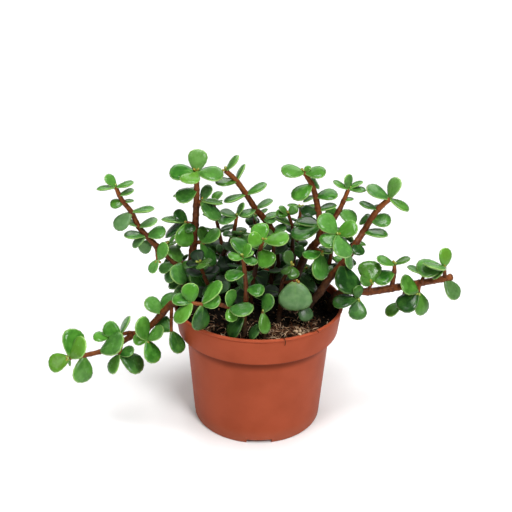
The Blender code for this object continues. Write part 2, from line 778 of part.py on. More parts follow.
def soil(stems, collection, cutters):
    """The soil: it fills the pot's inside, and each stem stands in a plain hole in it."""
    ledge = POT_HEIGHT - BAND_HEIGHT + WALL
    floor_top = FLOOR_UNDERSIDE + WALL
    edge = inside_radius(BAND_FOOT_RADIUS) + BAND_FLARE_TO_SOIL
    rings = [(share * edge, SOIL_EDGE) for share in SOIL_RINGS]
    sides = [
        (inside_radius(BAND_FOOT_RADIUS), ledge + GAP),
        (inside_radius(wall_radius(ledge)), ledge + GAP),
        (inside_radius(wall_radius(floor_top)), floor_top + GAP),
        (0, floor_top + GAP),
    ]
    earth = material("dark_peat", (0.028, 0.017, 0.011), 0.95)
    made = turned("soil", rings + sides, SOIL_STEPS, collection, earth)
    made.data = evaluated(made)
    made.modifiers.clear()
    for v in made.data.vertices:
        if v.co.z > ledge + BAND_HEIGHT / 2:
            v.co.z = ground(v.co.x, v.co.y)
    holes = []
    for stem, shoots in stems.items():
        first = shoots[0]
        radius = (first.foot_radius + GAP) / math.cos(math.pi / HOLE_SIDES)
        middle = (first.joints[0].place.x, first.joints[0].place.y, SOIL_EDGE + SOIL_RISE)
        holes.append(rod(f"{stem}_hole", middle, radius, 2 * (ROOT_DEPTH + GAP), HOLE_SIDES, cutters))
    cut(made, holes)
    return made


def tube(name, one, rooted, bevel_steps):
    """A mesh of a shoot's bare stem: a tapering tube through its joints, from any root to its end bud."""
    places = [bud.place for bud in one.joints]
    places[-1] = places[-1] + BUD * (places[-1] - places[-2]).normalized()
    if rooted:
        places.insert(0, Vector((places[0].x, places[0].y, SOIL_EDGE + SOIL_RISE - ROOT_DEPTH)))
    curve = bpy.data.curves.new(name, "CURVE")
    curve.dimensions = "3D"
    curve.bevel_depth = one.foot_radius
    curve.bevel_resolution = bevel_steps
    curve.use_fill_caps = True
    spline = curve.splines.new("POLY")
    spline.points.add(len(places) - 1)
    for number, (point, place) in enumerate(zip(spline.points, places)):
        share = max(0, number - rooted) / (len(places) - 1 - rooted)
        point.co = (*place, 1)
        point.radius = 1 + share * (one.tip_radius / one.foot_radius - 1)
    guide = bpy.data.objects.new(name, curve)
    bpy.context.scene.collection.objects.link(guide)
    mesh = evaluated(guide)
    bpy.data.objects.remove(guide)
    return mesh


def leafy_stem(name, tubes, leaves, collection, finish):
    """One stem with its side shoots and leaves, joined into one solid."""
    made = add_object(name, tubes[0], collection, finish)
    pieces = bpy.data.collections.new(f"{name}_pieces")
    bpy.context.scene.collection.children.link(pieces)
    for number, branch in enumerate(tubes[1:]):
        add_object(f"{name}_branch_{number + 1}", branch, pieces)
    for number, leaf in enumerate(leaves):
        add_object(f"{name}_leaf_{number + 1}", mesh_from("leaf", blade_shape(leaf)), pieces)
    union = made.modifiers.new("join", "BOOLEAN")
    union.operation = "UNION"
    union.operand_type = "COLLECTION"
    union.collection = pieces
    joined = evaluated(made)
    made.modifiers.clear()
    made.data = joined
    for piece in list(pieces.objects):
        bpy.data.objects.remove(piece)
    bpy.data.collections.remove(pieces)


def whole_tree(meshes):
    """One search tree of several meshes."""
    shape = bmesh.new()
    for mesh in meshes:
        shape.from_mesh(mesh)
    tree = BVHTree.FromBMesh(shape)
    shape.free()
    return tree


def main():
    """Build the whole object."""
    for old in list(bpy.data.objects):
        bpy.data.objects.remove(old)
    plant = bpy.data.collections.new("potted_elephant_bush")
    cutters = bpy.data.collections.new("cutters")
    for group in (plant, cutters):
        bpy.context.scene.collection.children.link(group)
    stems = all_stems()
    pot_made = pot(plant, cutters)
    soil_made = soil(stems, plant, cutters)
    tubes = {
        stem: [tube(stem, shoots[0], True, 1)] + [tube(stem, one, False, 0) for one in shoots[1:]]
        for stem, shoots in stems.items()
    }
    solids = [(name, whole_tree(meshes)) for name, meshes in tubes.items()]
    solids += [("pot", whole_tree([evaluated(pot_made)])), ("soil", whole_tree([evaluated(soil_made)]))]
    leaves = lay_leaves(stems, solids)
    green = material("fresh_leaf", (0.10, 0.32, 0.05), 0.35)
    for stem in stems:
        leafy_stem(stem, tubes[stem], leaves[stem], plant, green)


main()
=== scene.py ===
# %% [markdown]
# # A potted elephant bush
#
# This lesson dresses a small succulent shrub in a plastic nursery pot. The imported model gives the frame: the
# pot, the soil and twenty-two leafy stems, each a plain solid at its real place. The solids are right in size
# but coarse, so each is replaced here by a finer piece of the same form, and then soil crumbs, fibres and
# fine roots are added. All lengths are in metres. The pot stands on z = 0 with its axis on Z, +X is the
# viewer's right and -Y is towards the viewer.

# %% The frame
import math
import random
from collections import namedtuple

import bmesh
import bpy
from mathutils import Matrix, Vector, kdtree, noise


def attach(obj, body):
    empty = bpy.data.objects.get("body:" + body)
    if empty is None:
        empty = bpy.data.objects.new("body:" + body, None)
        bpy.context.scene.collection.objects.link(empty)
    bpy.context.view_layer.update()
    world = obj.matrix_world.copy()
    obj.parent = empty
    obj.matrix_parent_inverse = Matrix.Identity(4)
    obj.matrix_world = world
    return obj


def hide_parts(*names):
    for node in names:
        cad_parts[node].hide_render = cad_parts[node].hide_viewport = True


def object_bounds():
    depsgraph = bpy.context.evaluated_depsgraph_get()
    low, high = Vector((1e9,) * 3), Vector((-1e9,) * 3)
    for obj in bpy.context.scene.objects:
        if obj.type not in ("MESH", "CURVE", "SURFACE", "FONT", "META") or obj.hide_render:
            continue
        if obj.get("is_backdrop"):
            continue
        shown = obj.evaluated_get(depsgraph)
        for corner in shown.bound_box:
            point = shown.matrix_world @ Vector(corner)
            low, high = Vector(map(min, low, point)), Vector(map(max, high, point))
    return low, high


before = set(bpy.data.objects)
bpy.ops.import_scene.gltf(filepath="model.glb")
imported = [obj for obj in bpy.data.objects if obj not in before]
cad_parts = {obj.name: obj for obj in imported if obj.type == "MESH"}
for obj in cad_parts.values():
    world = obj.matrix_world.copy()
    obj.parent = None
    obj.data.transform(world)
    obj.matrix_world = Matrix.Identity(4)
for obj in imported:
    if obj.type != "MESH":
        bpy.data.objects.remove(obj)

MM = 0.001
cad_box = [list(corner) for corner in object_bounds()]
print("nodes of the frame:", len(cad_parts))
print("box of the frame:", cad_box)

# %% [markdown]
# ## Camera, floor and light
#
# A product picture of a plant is taken from a little above, with a white floor that runs up into the
# background and large soft lights. The camera stands half a metre in front of the pot and looks down at it by
# twenty-three degrees. It is placed by three directions, its right, its up and the way it looks, because
# together they also hold the slight roll of the real camera. One lamp could light the plant, but small lamps
# draw hard shadows, so broad area lights stand in for softboxes: a strong one in front on the viewer's
# right, a wide weak one on the left, and one above. A fourth one hangs over the floor behind the plant, and
# lights that floor and the plant's back, as in a real studio. Their strengths are matched to the photo: the
# floor by the pot is white, and the leaves keep their deep greens.

# %% The camera
CAMERA_PLACE = Vector((0, -0.5, 0.34))
CAMERA_RIGHT = Vector((0.9998, 0.0104, 0.0139))
CAMERA_UP = Vector((-0.0169, 0.3977, 0.9174))
CAMERA_LOOKS = Vector((-0.004, 0.9175, -0.3978))
FOCAL_PIXELS = 787
PICTURE_PIXELS = 512
SENSOR_MM = 36
LENS_MM = FOCAL_PIXELS * SENSOR_MM / PICTURE_PIXELS
NEAREST_SEEN = 0.01

camera = bpy.data.objects.new("camera", bpy.data.cameras.new("camera"))
camera.data.lens = LENS_MM
camera.data.sensor_width = SENSOR_MM
camera.data.clip_start = NEAREST_SEEN
camera.matrix_world = (
    Matrix.Translation(CAMERA_PLACE)
    @ Matrix((CAMERA_RIGHT, CAMERA_UP, -CAMERA_LOOKS)).transposed().to_4x4()
)
bpy.context.scene.collection.objects.link(camera)
bpy.context.scene.camera = camera
print("lens of the camera in millimetres:", round(LENS_MM, 1))

# %% The lights and the world
PLANT_MIDDLE = (0, 0, 0.1)
FLOOR_BEHIND = (0, 3.6, 0)


def softbox(name, place, aim, width, height, watts):
    """A rectangular area light that shines from a place towards an aim."""
    light = bpy.data.lights.new(name, "AREA")
    light.shape = "RECTANGLE"
    light.size = width
    light.size_y = height
    light.energy = watts
    lamp = bpy.data.objects.new(name, light)
    towards = Vector(aim) - Vector(place)
    lamp.matrix_world = Matrix.Translation(place) @ towards.to_track_quat("-Z", "Y").to_matrix().to_4x4()
    bpy.context.scene.collection.objects.link(lamp)


softbox("light_right", (0.55, -0.95, 1.1), PLANT_MIDDLE, 0.4, 0.5, 14.3)
softbox("light_left", (-0.75, -0.75, 0.95), PLANT_MIDDLE, 0.5, 0.7, 3.7)
softbox("light_above", (0.05, -0.2, 1.4), PLANT_MIDDLE, 0.6, 0.6, 15)
softbox("light_floor", (0, 3.6, 2.4), FLOOR_BEHIND, 4, 4, 130)

world = bpy.data.worlds.new("studio")
world.use_nodes = True
world.node_tree.nodes["Background"].inputs["Color"].default_value = (1, 1, 1, 1)
bpy.context.scene.world = world
bpy.context.scene.view_settings.view_transform = "Standard"

# %% The floor
FLOOR_SIZE = 12
floor_shape = bmesh.new()
bmesh.ops.create_grid(floor_shape, x_segments=1, y_segments=1, size=FLOOR_SIZE / 2)
floor_mesh = bpy.data.meshes.new("floor")
floor_shape.to_mesh(floor_mesh)
floor_shape.free()
floor = bpy.data.objects.new("floor", floor_mesh)
bpy.context.scene.collection.objects.link(floor)
paper = bpy.data.materials.new("white_paper")
paper.use_nodes = True
paper_shader = paper.node_tree.nodes["Principled BSDF"]
paper_shader.inputs["Base Color"].default_value = (0.92, 0.92, 0.92, 1)
paper_shader.inputs["Roughness"].default_value = 0.9
floor.data.materials.append(paper)
floor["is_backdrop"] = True
print("floor laid,", FLOOR_SIZE, "metres wide")

# %% [markdown]
# ## Tools for the finishes
#
# Every surface here varies: plastic has a faint cloudiness, a leaf is mottled, bark is streaked. A picture
# could be wrapped round each piece, but a procedural pattern has no seams and no fixed resolution. Two
# patterns come back in nearly every finish, so each is a node group, built once. "cloudy tint" mixes two
# colours by a soft noise. "fine grain" gives the height of a finer noise, for bumps. Both read a place that
# is passed in, here the object's own coordinates. Only the stems' streaks follow an attribute instead.


# %% Node helpers
def new_group(name, inputs, outputs):
    """An empty shader node group with these sockets, and its two end nodes."""
    group = bpy.data.node_groups.new(name, "ShaderNodeTree")
    for label, kind, value in inputs:
        socket = group.interface.new_socket(label, in_out="INPUT", socket_type=kind)
        if value is not None:
            socket.default_value = value
    for label, kind in outputs:
        group.interface.new_socket(label, in_out="OUTPUT", socket_type=kind)
    return group, group.nodes.new("NodeGroupInput"), group.nodes.new("NodeGroupOutput")


def feed(tree, value, target):
    """Joins an output socket to an input socket, or writes a number or a colour of three numbers into it."""
    if isinstance(value, bpy.types.NodeSocket):
        tree.links.new(value, target)
    else:
        target.default_value = (*value, 1) if isinstance(value, tuple) else value


def noise_node(tree, place, scale, detail, roughness=0.5):
    """A noise texture at a place."""
    made = tree.nodes.new("ShaderNodeTexNoise")
    made.inputs["Detail"].default_value = detail
    made.inputs["Roughness"].default_value = roughness
    feed(tree, place, made.inputs["Vector"])
    feed(tree, scale, made.inputs["Scale"])
    return made.outputs["Fac"]


def between(tree, value, low, high, to_low=0.0, to_high=1.0):
    """A value's range from low to high, stretched smoothly to another range."""
    made = tree.nodes.new("ShaderNodeMapRange")
    made.interpolation_type = "SMOOTHSTEP"
    for label, number in (("From Min", low), ("From Max", high), ("To Min", to_low), ("To Max", to_high)):
        made.inputs[label].default_value = number
    feed(tree, value, made.inputs["Value"])
    return made.outputs["Result"]


def blended(tree, share, first, second):
    """Two colours mixed by a share. Each is a socket or a colour."""
    made = tree.nodes.new("ShaderNodeMix")
    made.data_type = "RGBA"
    feed(tree, share, made.inputs[0])
    feed(tree, first, made.inputs[6])
    feed(tree, second, made.inputs[7])
    return made.outputs[2]


def worked(tree, kind, first, second):
    """The sum, product or other result of two values. Each is a socket or a number."""
    made = tree.nodes.new("ShaderNodeMath")
    made.operation = kind
    feed(tree, first, made.inputs[0])
    feed(tree, second, made.inputs[1])
    return made.outputs[0]


# %% The shared patterns
def cloudy_tint_group():
    """Two colours mixed by a soft noise of a given size."""
    group, given, result = new_group(
        "cloudy tint",
        [
            ("Place", "NodeSocketVector", None),
            ("First", "NodeSocketColor", (0.5, 0.5, 0.5, 1)),
            ("Second", "NodeSocketColor", (0.5, 0.5, 0.5, 1)),
            ("Scale", "NodeSocketFloat", 100.0),
        ],
        [("Colour", "NodeSocketColor")],
    )
    soft = noise_node(group, given.outputs["Place"], given.outputs["Scale"], 3)
    mixed = blended(group, between(group, soft, 0.3, 0.7), given.outputs["First"], given.outputs["Second"])
    feed(group, mixed, result.inputs["Colour"])
    return group


def fine_grain_group():
    """The height of a fine grain mixed with wider unevenness, and the grain by itself."""
    group, given, result = new_group(
        "fine grain",
        [
            ("Place", "NodeSocketVector", None),
            ("Grain Scale", "NodeSocketFloat", 2000.0),
            ("Wave Scale", "NodeSocketFloat", 150.0),
            ("Wave Share", "NodeSocketFloat", 0.5),
        ],
        [("Height", "NodeSocketFloat"), ("Grain", "NodeSocketFloat")],
    )
    grain = noise_node(group, given.outputs["Place"], given.outputs["Grain Scale"], 4, 0.6)
    wave = noise_node(group, given.outputs["Place"], given.outputs["Wave Scale"], 2)
    made = group.nodes.new("ShaderNodeMix")
    feed(group, given.outputs["Wave Share"], made.inputs[0])
    feed(group, grain, made.inputs[2])
    feed(group, wave, made.inputs[3])
    feed(group, made.outputs[0], result.inputs["Height"])
    feed(group, grain, result.inputs["Grain"])
    return group


CLOUDY_TINT = cloudy_tint_group()
FINE_GRAIN = fine_grain_group()


def placed_group(tree, group, place, **values):
    """A group in a material's tree, with its own values."""
    made = tree.nodes.new("ShaderNodeGroup")
    made.node_tree = group
    feed(tree, place, made.inputs["Place"])
    for label, value in values.items():
        feed(tree, value, made.inputs[label.replace("_", " ").title()])
    return made


def tinted(tree, place, colours, scale):
    """A colour that drifts between two."""
    first, second = colours
    return placed_group(tree, CLOUDY_TINT, place, first=first, second=second, scale=scale).outputs["Colour"]


def new_finish(name, specular):
    """A material, its node tree and its shader, with its specular level set on the shader itself."""
    made = bpy.data.materials.new(name)
    made.use_nodes = True
    shader = made.node_tree.nodes["Principled BSDF"]
    shader.inputs["Specular IOR Level"].default_value = specular
    return made, made.node_tree, shader


def own_place(tree):
    """The place on the piece in the object's coordinates."""
    return tree.nodes.new("ShaderNodeTexCoord").outputs["Object"]


def mark(tree, name, part="Fac"):
    """What an attribute of the piece says at this point of its surface."""
    made = tree.nodes.new("ShaderNodeAttribute")
    made.attribute_name = name
    return made.outputs[part]


def parts_of(tree, vector):
    """The three numbers of a vector."""
    made = tree.nodes.new("ShaderNodeSeparateXYZ")
    feed(tree, vector, made.inputs[0])
    return made.outputs[0], made.outputs[1], made.outputs[2]


def length_of(tree, vector):
    """The length of a vector."""
    made = tree.nodes.new("ShaderNodeVectorMath")
    made.operation = "LENGTH"
    feed(tree, vector, made.inputs[0])
    return made.outputs["Value"]


def bumped(tree, shader, height, distance):
    """Lets a height shape the light on the shader's surface, by a distance in metres."""
    made = tree.nodes.new("ShaderNodeBump")
    made.inputs["Distance"].default_value = distance
    made.inputs["Strength"].default_value = 1.0
    feed(tree, height, made.inputs["Height"])
    feed(tree, made.outputs["Normal"], shader.inputs["Normal"])


print("shared patterns:", CLOUDY_TINT.name, "and", FINE_GRAIN.name)

# %% [markdown]
# ## A background that stays white
#
# From the side and from behind, the floor runs out of the lamps' reach, and the weak world behind it is dark
# grey. A bright world would mend that, but it also lays a white haze on every leaf. A studio hangs up a lit
# white sheet that is too far away to light the plant. Here the Light Path node stands in for the sheet. It
# tells whether a ray comes straight from the camera, and only for such a ray the world is white and the paper
# glows where it lies far from the pot. The plant gets no light from it, and its shadow near the pot stays.

# %% The white sheet
WORLD_LIGHT = 0.08
SHEET_STARTS = 0.5
SHEET_IS_WHITE = 1.5


def seen_or_lit(tree, lit, seen):
    """One number for the camera's own rays and another for all light that falls on something."""
    rays = tree.nodes.new("ShaderNodeLightPath")
    return between(tree, rays.outputs["Is Camera Ray"], 0.0, 1.0, lit, seen)


background = world.node_tree.nodes["Background"]
feed(world.node_tree, seen_or_lit(world.node_tree, WORLD_LIGHT, 1.0), background.inputs["Strength"])

sheet = paper.node_tree
far = between(sheet, length_of(sheet, own_place(sheet)), SHEET_STARTS, SHEET_IS_WHITE)
glow = worked(sheet, "MULTIPLY", far, seen_or_lit(sheet, 0.0, 1.0))
paper_shader.inputs["Emission Color"].default_value = (1, 1, 1, 1)
feed(sheet, glow, paper_shader.inputs["Emission Strength"])
print("the paper is white beyond", SHEET_IS_WHITE, "metres")

# %% [markdown]
# ## Tools for the pieces
#
# A piece is drawn in a bmesh, which is Blender's mesh for editing, and becomes an object that rides on the
# frame's one body. Its normals are recalculated before it leaves the bmesh, because spinning and extruding
# may turn a surface inside out. The object stays at the origin, unturned and unscaled, so its place is in its
# mesh, and the patterns on it stay where they are.


# %% From a bmesh to a piece
def new_piece(name, shape, finish, stands_for=None):
    """A finished object of a bmesh, which is freed. It may stand for a node of the frame."""
    bmesh.ops.recalc_face_normals(shape, faces=shape.faces)
    mesh = bpy.data.meshes.new(name)
    shape.to_mesh(mesh)
    shape.free()
    mesh.materials.append(finish)
    mesh.shade_smooth()
    piece = bpy.data.objects.new(name, mesh)
    bpy.context.scene.collection.objects.link(piece)
    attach(piece, "root")
    if stands_for:
        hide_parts(stands_for)
    return piece


def faces_in(pieces):
    """How many faces the pieces have."""
    return sum(len(piece.data.polygons) for piece in pieces)


# %% [markdown]
# ## The pot
#
# The pot is the usual thin nursery pot, injection-moulded in terracotta-coloured plastic: a flared wall, a
# wider band round the top with a rolled lip, a raised floor with drain holes, and a foot with four notches
# that let water out. It could be modelled from a cylinder, but its wall is the same all round, so it is spun:
# half of its cross-section is drawn once and turned about Z. The notches and holes are then cut out, and a
# small bevel rounds the edges as a mould does.

# %% The pot's sizes
POT_HEIGHT = 90 * MM
RIM_RADIUS = 60 * MM
BAND_HEIGHT = 20 * MM
BAND_FOOT_RADIUS = 57 * MM
SHOULDER_RADIUS = 51.5 * MM
FOOT_RADIUS = 46.2 * MM
FOOT_ROUNDING = 1.2 * MM
WALL = 1.4 * MM
LIP_HEIGHT = 1.6 * MM
LIP_STANDS_OUT = 0.7 * MM
GROOVE_DEPTH = 0.35 * MM
GROOVE_TOP = 0.2 * MM
GROOVE_FOOT = 0.8 * MM
FLOOR_UNDERSIDE = 3.6 * MM
ROUNDING_STEPS = 3
POT_STEPS = 120


def wall_radius(height):
    """The radius of the pot's outer wall below the band."""
    share = height / (POT_HEIGHT - BAND_HEIGHT)
    return FOOT_RADIUS + (SHOULDER_RADIUS - FOOT_RADIUS) * share


def rounded(corner, before, after, radius):
    """Points on a small arc that takes a corner off the line from before to after."""
    corner, before, after = Vector(corner), Vector(before), Vector(after)
    start = corner + radius * (before - corner).normalized()
    end = corner + radius * (after - corner).normalized()
    arc = []
    for number in range(ROUNDING_STEPS + 1):
        share = number / ROUNDING_STEPS
        arc.append(start.lerp(corner, share).lerp(corner.lerp(end, share), share))
    return arc


band_foot = POT_HEIGHT - BAND_HEIGHT
lip_foot = POT_HEIGHT - LIP_HEIGHT
band_top_radius = RIM_RADIUS - LIP_STANDS_OUT
floor_top = FLOOR_UNDERSIDE + WALL
# The corners of the cross-section: each its radius and height, and how much it is rounded.
pot_corners = [
    ((wall_radius(floor_top) - WALL, floor_top), 1.0 * MM),
    ((wall_radius(band_foot) - WALL, band_foot + WALL), 0.6 * MM),
    ((BAND_FOOT_RADIUS - WALL, band_foot + WALL), 0.6 * MM),
    ((band_top_radius - WALL, POT_HEIGHT), 0.5 * MM),
    ((RIM_RADIUS, POT_HEIGHT), 0.7 * MM),
    ((RIM_RADIUS, lip_foot), 0.5 * MM),
    ((band_top_radius - GROOVE_DEPTH, lip_foot - GROOVE_TOP), 0.2 * MM),
    ((band_top_radius, lip_foot - GROOVE_FOOT), 0.2 * MM),
    ((BAND_FOOT_RADIUS, band_foot), 0.8 * MM),
    ((wall_radius(band_foot), band_foot), 1.0 * MM),
    ((wall_radius(FOOT_ROUNDING), FOOT_ROUNDING), 0.5 * MM),
    ((FOOT_RADIUS - 0.5 * FOOT_ROUNDING, 0), 0.4 * MM),
    ((FOOT_RADIUS - FOOT_ROUNDING - WALL, 0), 0.3 * MM),
    ((wall_radius(FLOOR_UNDERSIDE) - 2 * WALL, FLOOR_UNDERSIDE), 0.8 * MM),
]
pot_line = [(0, floor_top)] + [corner for corner, radius in pot_corners] + [(0, FLOOR_UNDERSIDE)]
pot_profile = [Vector(pot_line[0])]
for number, (corner, radius) in enumerate(pot_corners):
    pot_profile += rounded(corner, pot_line[number], pot_line[number + 2], radius)
pot_profile.append(Vector(pot_line[-1]))
print("points in the pot's cross-section:", len(pot_profile))


# %% The pot's wall, spun
def spun(profile, steps):
    """A bmesh of a line of points (radius, height) turned once about Z. Both its ends lie on the axis."""
    shape = bmesh.new()
    line = [shape.verts.new((point[0], 0, point[1])) for point in profile]
    for low, high in zip(line, line[1:]):
        shape.edges.new((low, high))
    drawn = shape.verts[:] + shape.edges[:]
    bmesh.ops.spin(
        shape, geom=drawn, cent=(0, 0, 0), axis=(0, 0, 1), angle=math.tau, steps=steps, use_merge=True
    )
    bmesh.ops.remove_doubles(shape, verts=shape.verts, dist=0.001 * MM)
    return shape


pot_shape = spun(pot_profile, POT_STEPS)
print("faces in the pot's wall:", len(pot_shape.faces))

# %% The notches and drain holes
NOTCH_SIZE = (12 * MM, 17.5 * MM, 6 * MM)
NOTCH_COUNT = 4
NOTCH_TURN = math.radians(2.7)
DRAIN_RADIUS = 4 * MM
DRAIN_CIRCLE = 27 * MM
DRAIN_COUNT = 6
DRAIN_SIDES = 32


def pot_cutters():
    """A bmesh of all that is cut out of the pot: a box at each notch and a rod at each drain hole."""
    shape = bmesh.new()
    for number in range(NOTCH_COUNT):
        turn = NOTCH_TURN + math.tau * (number / NOTCH_COUNT - 0.25)
        place = Matrix.Rotation(turn, 4, "Z") @ Matrix.Translation((FOOT_RADIUS, 0, 0))
        bmesh.ops.create_cube(shape, size=1, matrix=place @ Matrix.Diagonal((*NOTCH_SIZE, 1)))
    for number in range(DRAIN_COUNT):
        turn = math.tau * (number + 0.5) / DRAIN_COUNT
        at = (DRAIN_CIRCLE * math.cos(turn), DRAIN_CIRCLE * math.sin(turn), FLOOR_UNDERSIDE)
        bmesh.ops.create_cone(
            shape, cap_ends=True, segments=DRAIN_SIDES, radius1=DRAIN_RADIUS, radius2=DRAIN_RADIUS,
            depth=6 * WALL, matrix=Matrix.Translation(at),
        )
    return shape


def cut_out(shape, cutters):
    """A bmesh of one shape without another. Both are freed."""
    pair = []
    for bm in (shape, cutters):
        bmesh.ops.recalc_face_normals(bm, faces=bm.faces)
        mesh = bpy.data.meshes.new("to_cut")
        bm.to_mesh(mesh)
        bm.free()
        made = bpy.data.objects.new("to_cut", mesh)
        bpy.context.scene.collection.objects.link(made)
        pair.append(made)
    cutting = pair[0].modifiers.new("cut", "BOOLEAN")
    cutting.operation = "DIFFERENCE"
    cutting.object = pair[1]
    bpy.context.view_layer.update()
    ready = pair[0].evaluated_get(bpy.context.evaluated_depsgraph_get())
    mesh = bpy.data.meshes.new_from_object(ready)
    result = bmesh.new()
    result.from_mesh(mesh)
    for made in pair:
        bpy.data.objects.remove(made)
    return result


pot_shape = cut_out(pot_shape, pot_cutters())
print("faces with the notches and holes:", len(pot_shape.faces))

# %% [markdown]
# ## The pot's finish
#
# Cheap coloured plastic is matt, a little cloudy where the melt flowed, and marked by handling: a few pale
# specks, rubbed spots and dust at the foot. Just under the band, a darker strip of colour is a painted shadow
# of the band. A flat colour would look like paint. Here the colour drifts between two close terracottas,
# sparse noises add the specks and spots, and the height above the ground tells where the dust and the painted
# shadow lie. A very fine bump breaks the highlight.

# %% Terracotta plastic
TERRACOTTAS = ((0.30, 0.057, 0.023), (0.35, 0.069, 0.029))
PALE_SPECK = (0.55, 0.24, 0.15)
RUBBED_SPOT = (0.17, 0.04, 0.022)
DUST = (0.40, 0.22, 0.15)
# The colour of the painted shadow under the band, and how far below the band it fades.
PAINTED_BAND_SHADOW = (0.17, 0.030, 0.011)
DUST_REACH = 12 * MM
BAND_SHADOW_FADES = 10 * MM
BAND_SHADOW_IS_FULL = 4 * MM


def terracotta_plastic():
    """Matt terracotta plastic with cloudiness, specks, a dusty foot and a painted shadow under the band."""
    made, tree, shader = new_finish("terracotta_plastic", 0.05)
    place = own_place(tree)
    colour = tinted(tree, place, TERRACOTTAS, 45.0)
    speck = between(tree, noise_node(tree, place, 300, 1), 0.79, 0.83)
    colour = blended(tree, worked(tree, "MULTIPLY", speck, 0.6), colour, PALE_SPECK)
    smudge = between(tree, noise_node(tree, place, 70, 4, 0.7), 0.64, 0.8, 0.0, 0.25)
    colour = blended(tree, smudge, colour, RUBBED_SPOT)
    height = parts_of(tree, place)[2]
    low = between(tree, height, 0.0, DUST_REACH, 0.35, 0.0)
    dust = worked(tree, "MULTIPLY", low, noise_node(tree, place, 160, 5, 0.7))
    colour = blended(tree, dust, colour, DUST)
    # Painted shadow: the wall just under the band is darkened, as if the band cast its shadow on it.
    band_shadow_below = between(tree, height, band_foot - BAND_SHADOW_FADES, band_foot - BAND_SHADOW_IS_FULL)
    band_shadow_cut = between(tree, height, band_foot + 0.4 * MM, band_foot + 0.9 * MM, 1.0, 0.0)
    colour = blended(tree, worked(tree, "MULTIPLY", band_shadow_below, band_shadow_cut), colour, PAINTED_BAND_SHADOW)
    feed(tree, colour, shader.inputs["Base Color"])
    grain = placed_group(tree, FINE_GRAIN, place, grain_scale=2600.0, wave_scale=60.0, wave_share=0.35)
    feed(tree, between(tree, grain.outputs["Grain"], 0.2, 0.8, 0.4, 0.55), shader.inputs["Roughness"])
    bumped(tree, shader, grain.outputs["Height"], 0.06 * MM)
    return made


# %% The finished pot
EDGE_ROUNDING = 0.2 * MM
ROUNDED_ABOVE = math.radians(50)
SHARP_ABOVE = math.radians(35)

pot = new_piece("nursery_pot", pot_shape, terracotta_plastic(), "pot")
rounding = pot.modifiers.new("moulded_edges", "BEVEL")
rounding.width = EDGE_ROUNDING
rounding.segments = 2
rounding.limit_method = "ANGLE"
rounding.angle_limit = ROUNDED_ABOVE
pot.data.set_sharp_from_angle(angle=SHARP_ABOVE)
print("pot:", faces_in([pot]), "faces")

# %% [markdown]
# ## How the plant is written down
#
# An elephant bush grows by a rule: its red-brown stems carry round fleshy leaves in pairs, each pair a
# quarter turn from the pair below. So the plant isn't sculpted. It is written down as shoots, which run
# through joints, and as the leaves of each joint. A joint has its place in millimetres: right, back, up. A
# leaf has its length in millimetres and three angles in degrees: clock is its direction in the picture
# (0 right, 90 up), lean is how far its tip points at the viewer, and tip is how far its face turns from the
# viewer to the sky. A fifth number, where there is one, is its breadth over its length.

# %% Joints, shoots and leaves
EYE_DIP = math.radians(23.4)
RIGHT = Vector((1, 0, 0))
UPWARD = Vector((0, math.sin(EYE_DIP), math.cos(EYE_DIP)))
TOWARDS = Vector((0, -math.cos(EYE_DIP), math.sin(EYE_DIP)))
# The sky is up, but a direction that rises or falls less than this counts as level and points right.
LEVEL = 0.15

Joint = namedtuple("Joint", "place leaves")
Shoot = namedtuple("Shoot", "foot_radius tip_radius joints")


def joint(place, *leaves):
    """A joint and its leaves. The place is given in millimetres."""
    return Joint(Vector(place) * MM, leaves)


def shoot(foot_mm, tip_mm, *joints):
    """A shoot with its radius in millimetres at its foot and at its tip."""
    return Shoot(foot_mm * MM, tip_mm * MM, joints)


def leaf_axes(clock, lean, tip):
    """The blade's length, breadth and face directions as the columns of a matrix."""
    clock, lean, tip = math.radians(clock), math.radians(lean), math.radians(tip)
    across = math.cos(clock) * RIGHT + math.sin(clock) * UPWARD
    along = math.cos(lean) * across + math.sin(lean) * TOWARDS
    to_eye = (TOWARDS - along * along.dot(TOWARDS)).normalized()
    to_sky = along.cross(to_eye)
    if (to_sky.z if abs(to_sky.z) > LEVEL else to_sky.x) < 0:
        to_sky.negate()
    face = math.cos(tip) * to_eye + math.sin(tip) * to_sky
    return Matrix((along, face.cross(along), face)).transposed()


print("a leaf with its three angles at nought faces", [round(part, 2) for part in leaf_axes(0, 0, 0).col[2]])

# %% [markdown]
# ## The stems that are seen
#
# Thirteen stems show one by one in the picture, so each of their leaves is written down. The first shoot of a
# stem is rooted in the soil at its first joint. The others start on a shoot before them. The tables are long,
# but a table can be read and corrected leaf by leaf, which a sculpted lump can't.

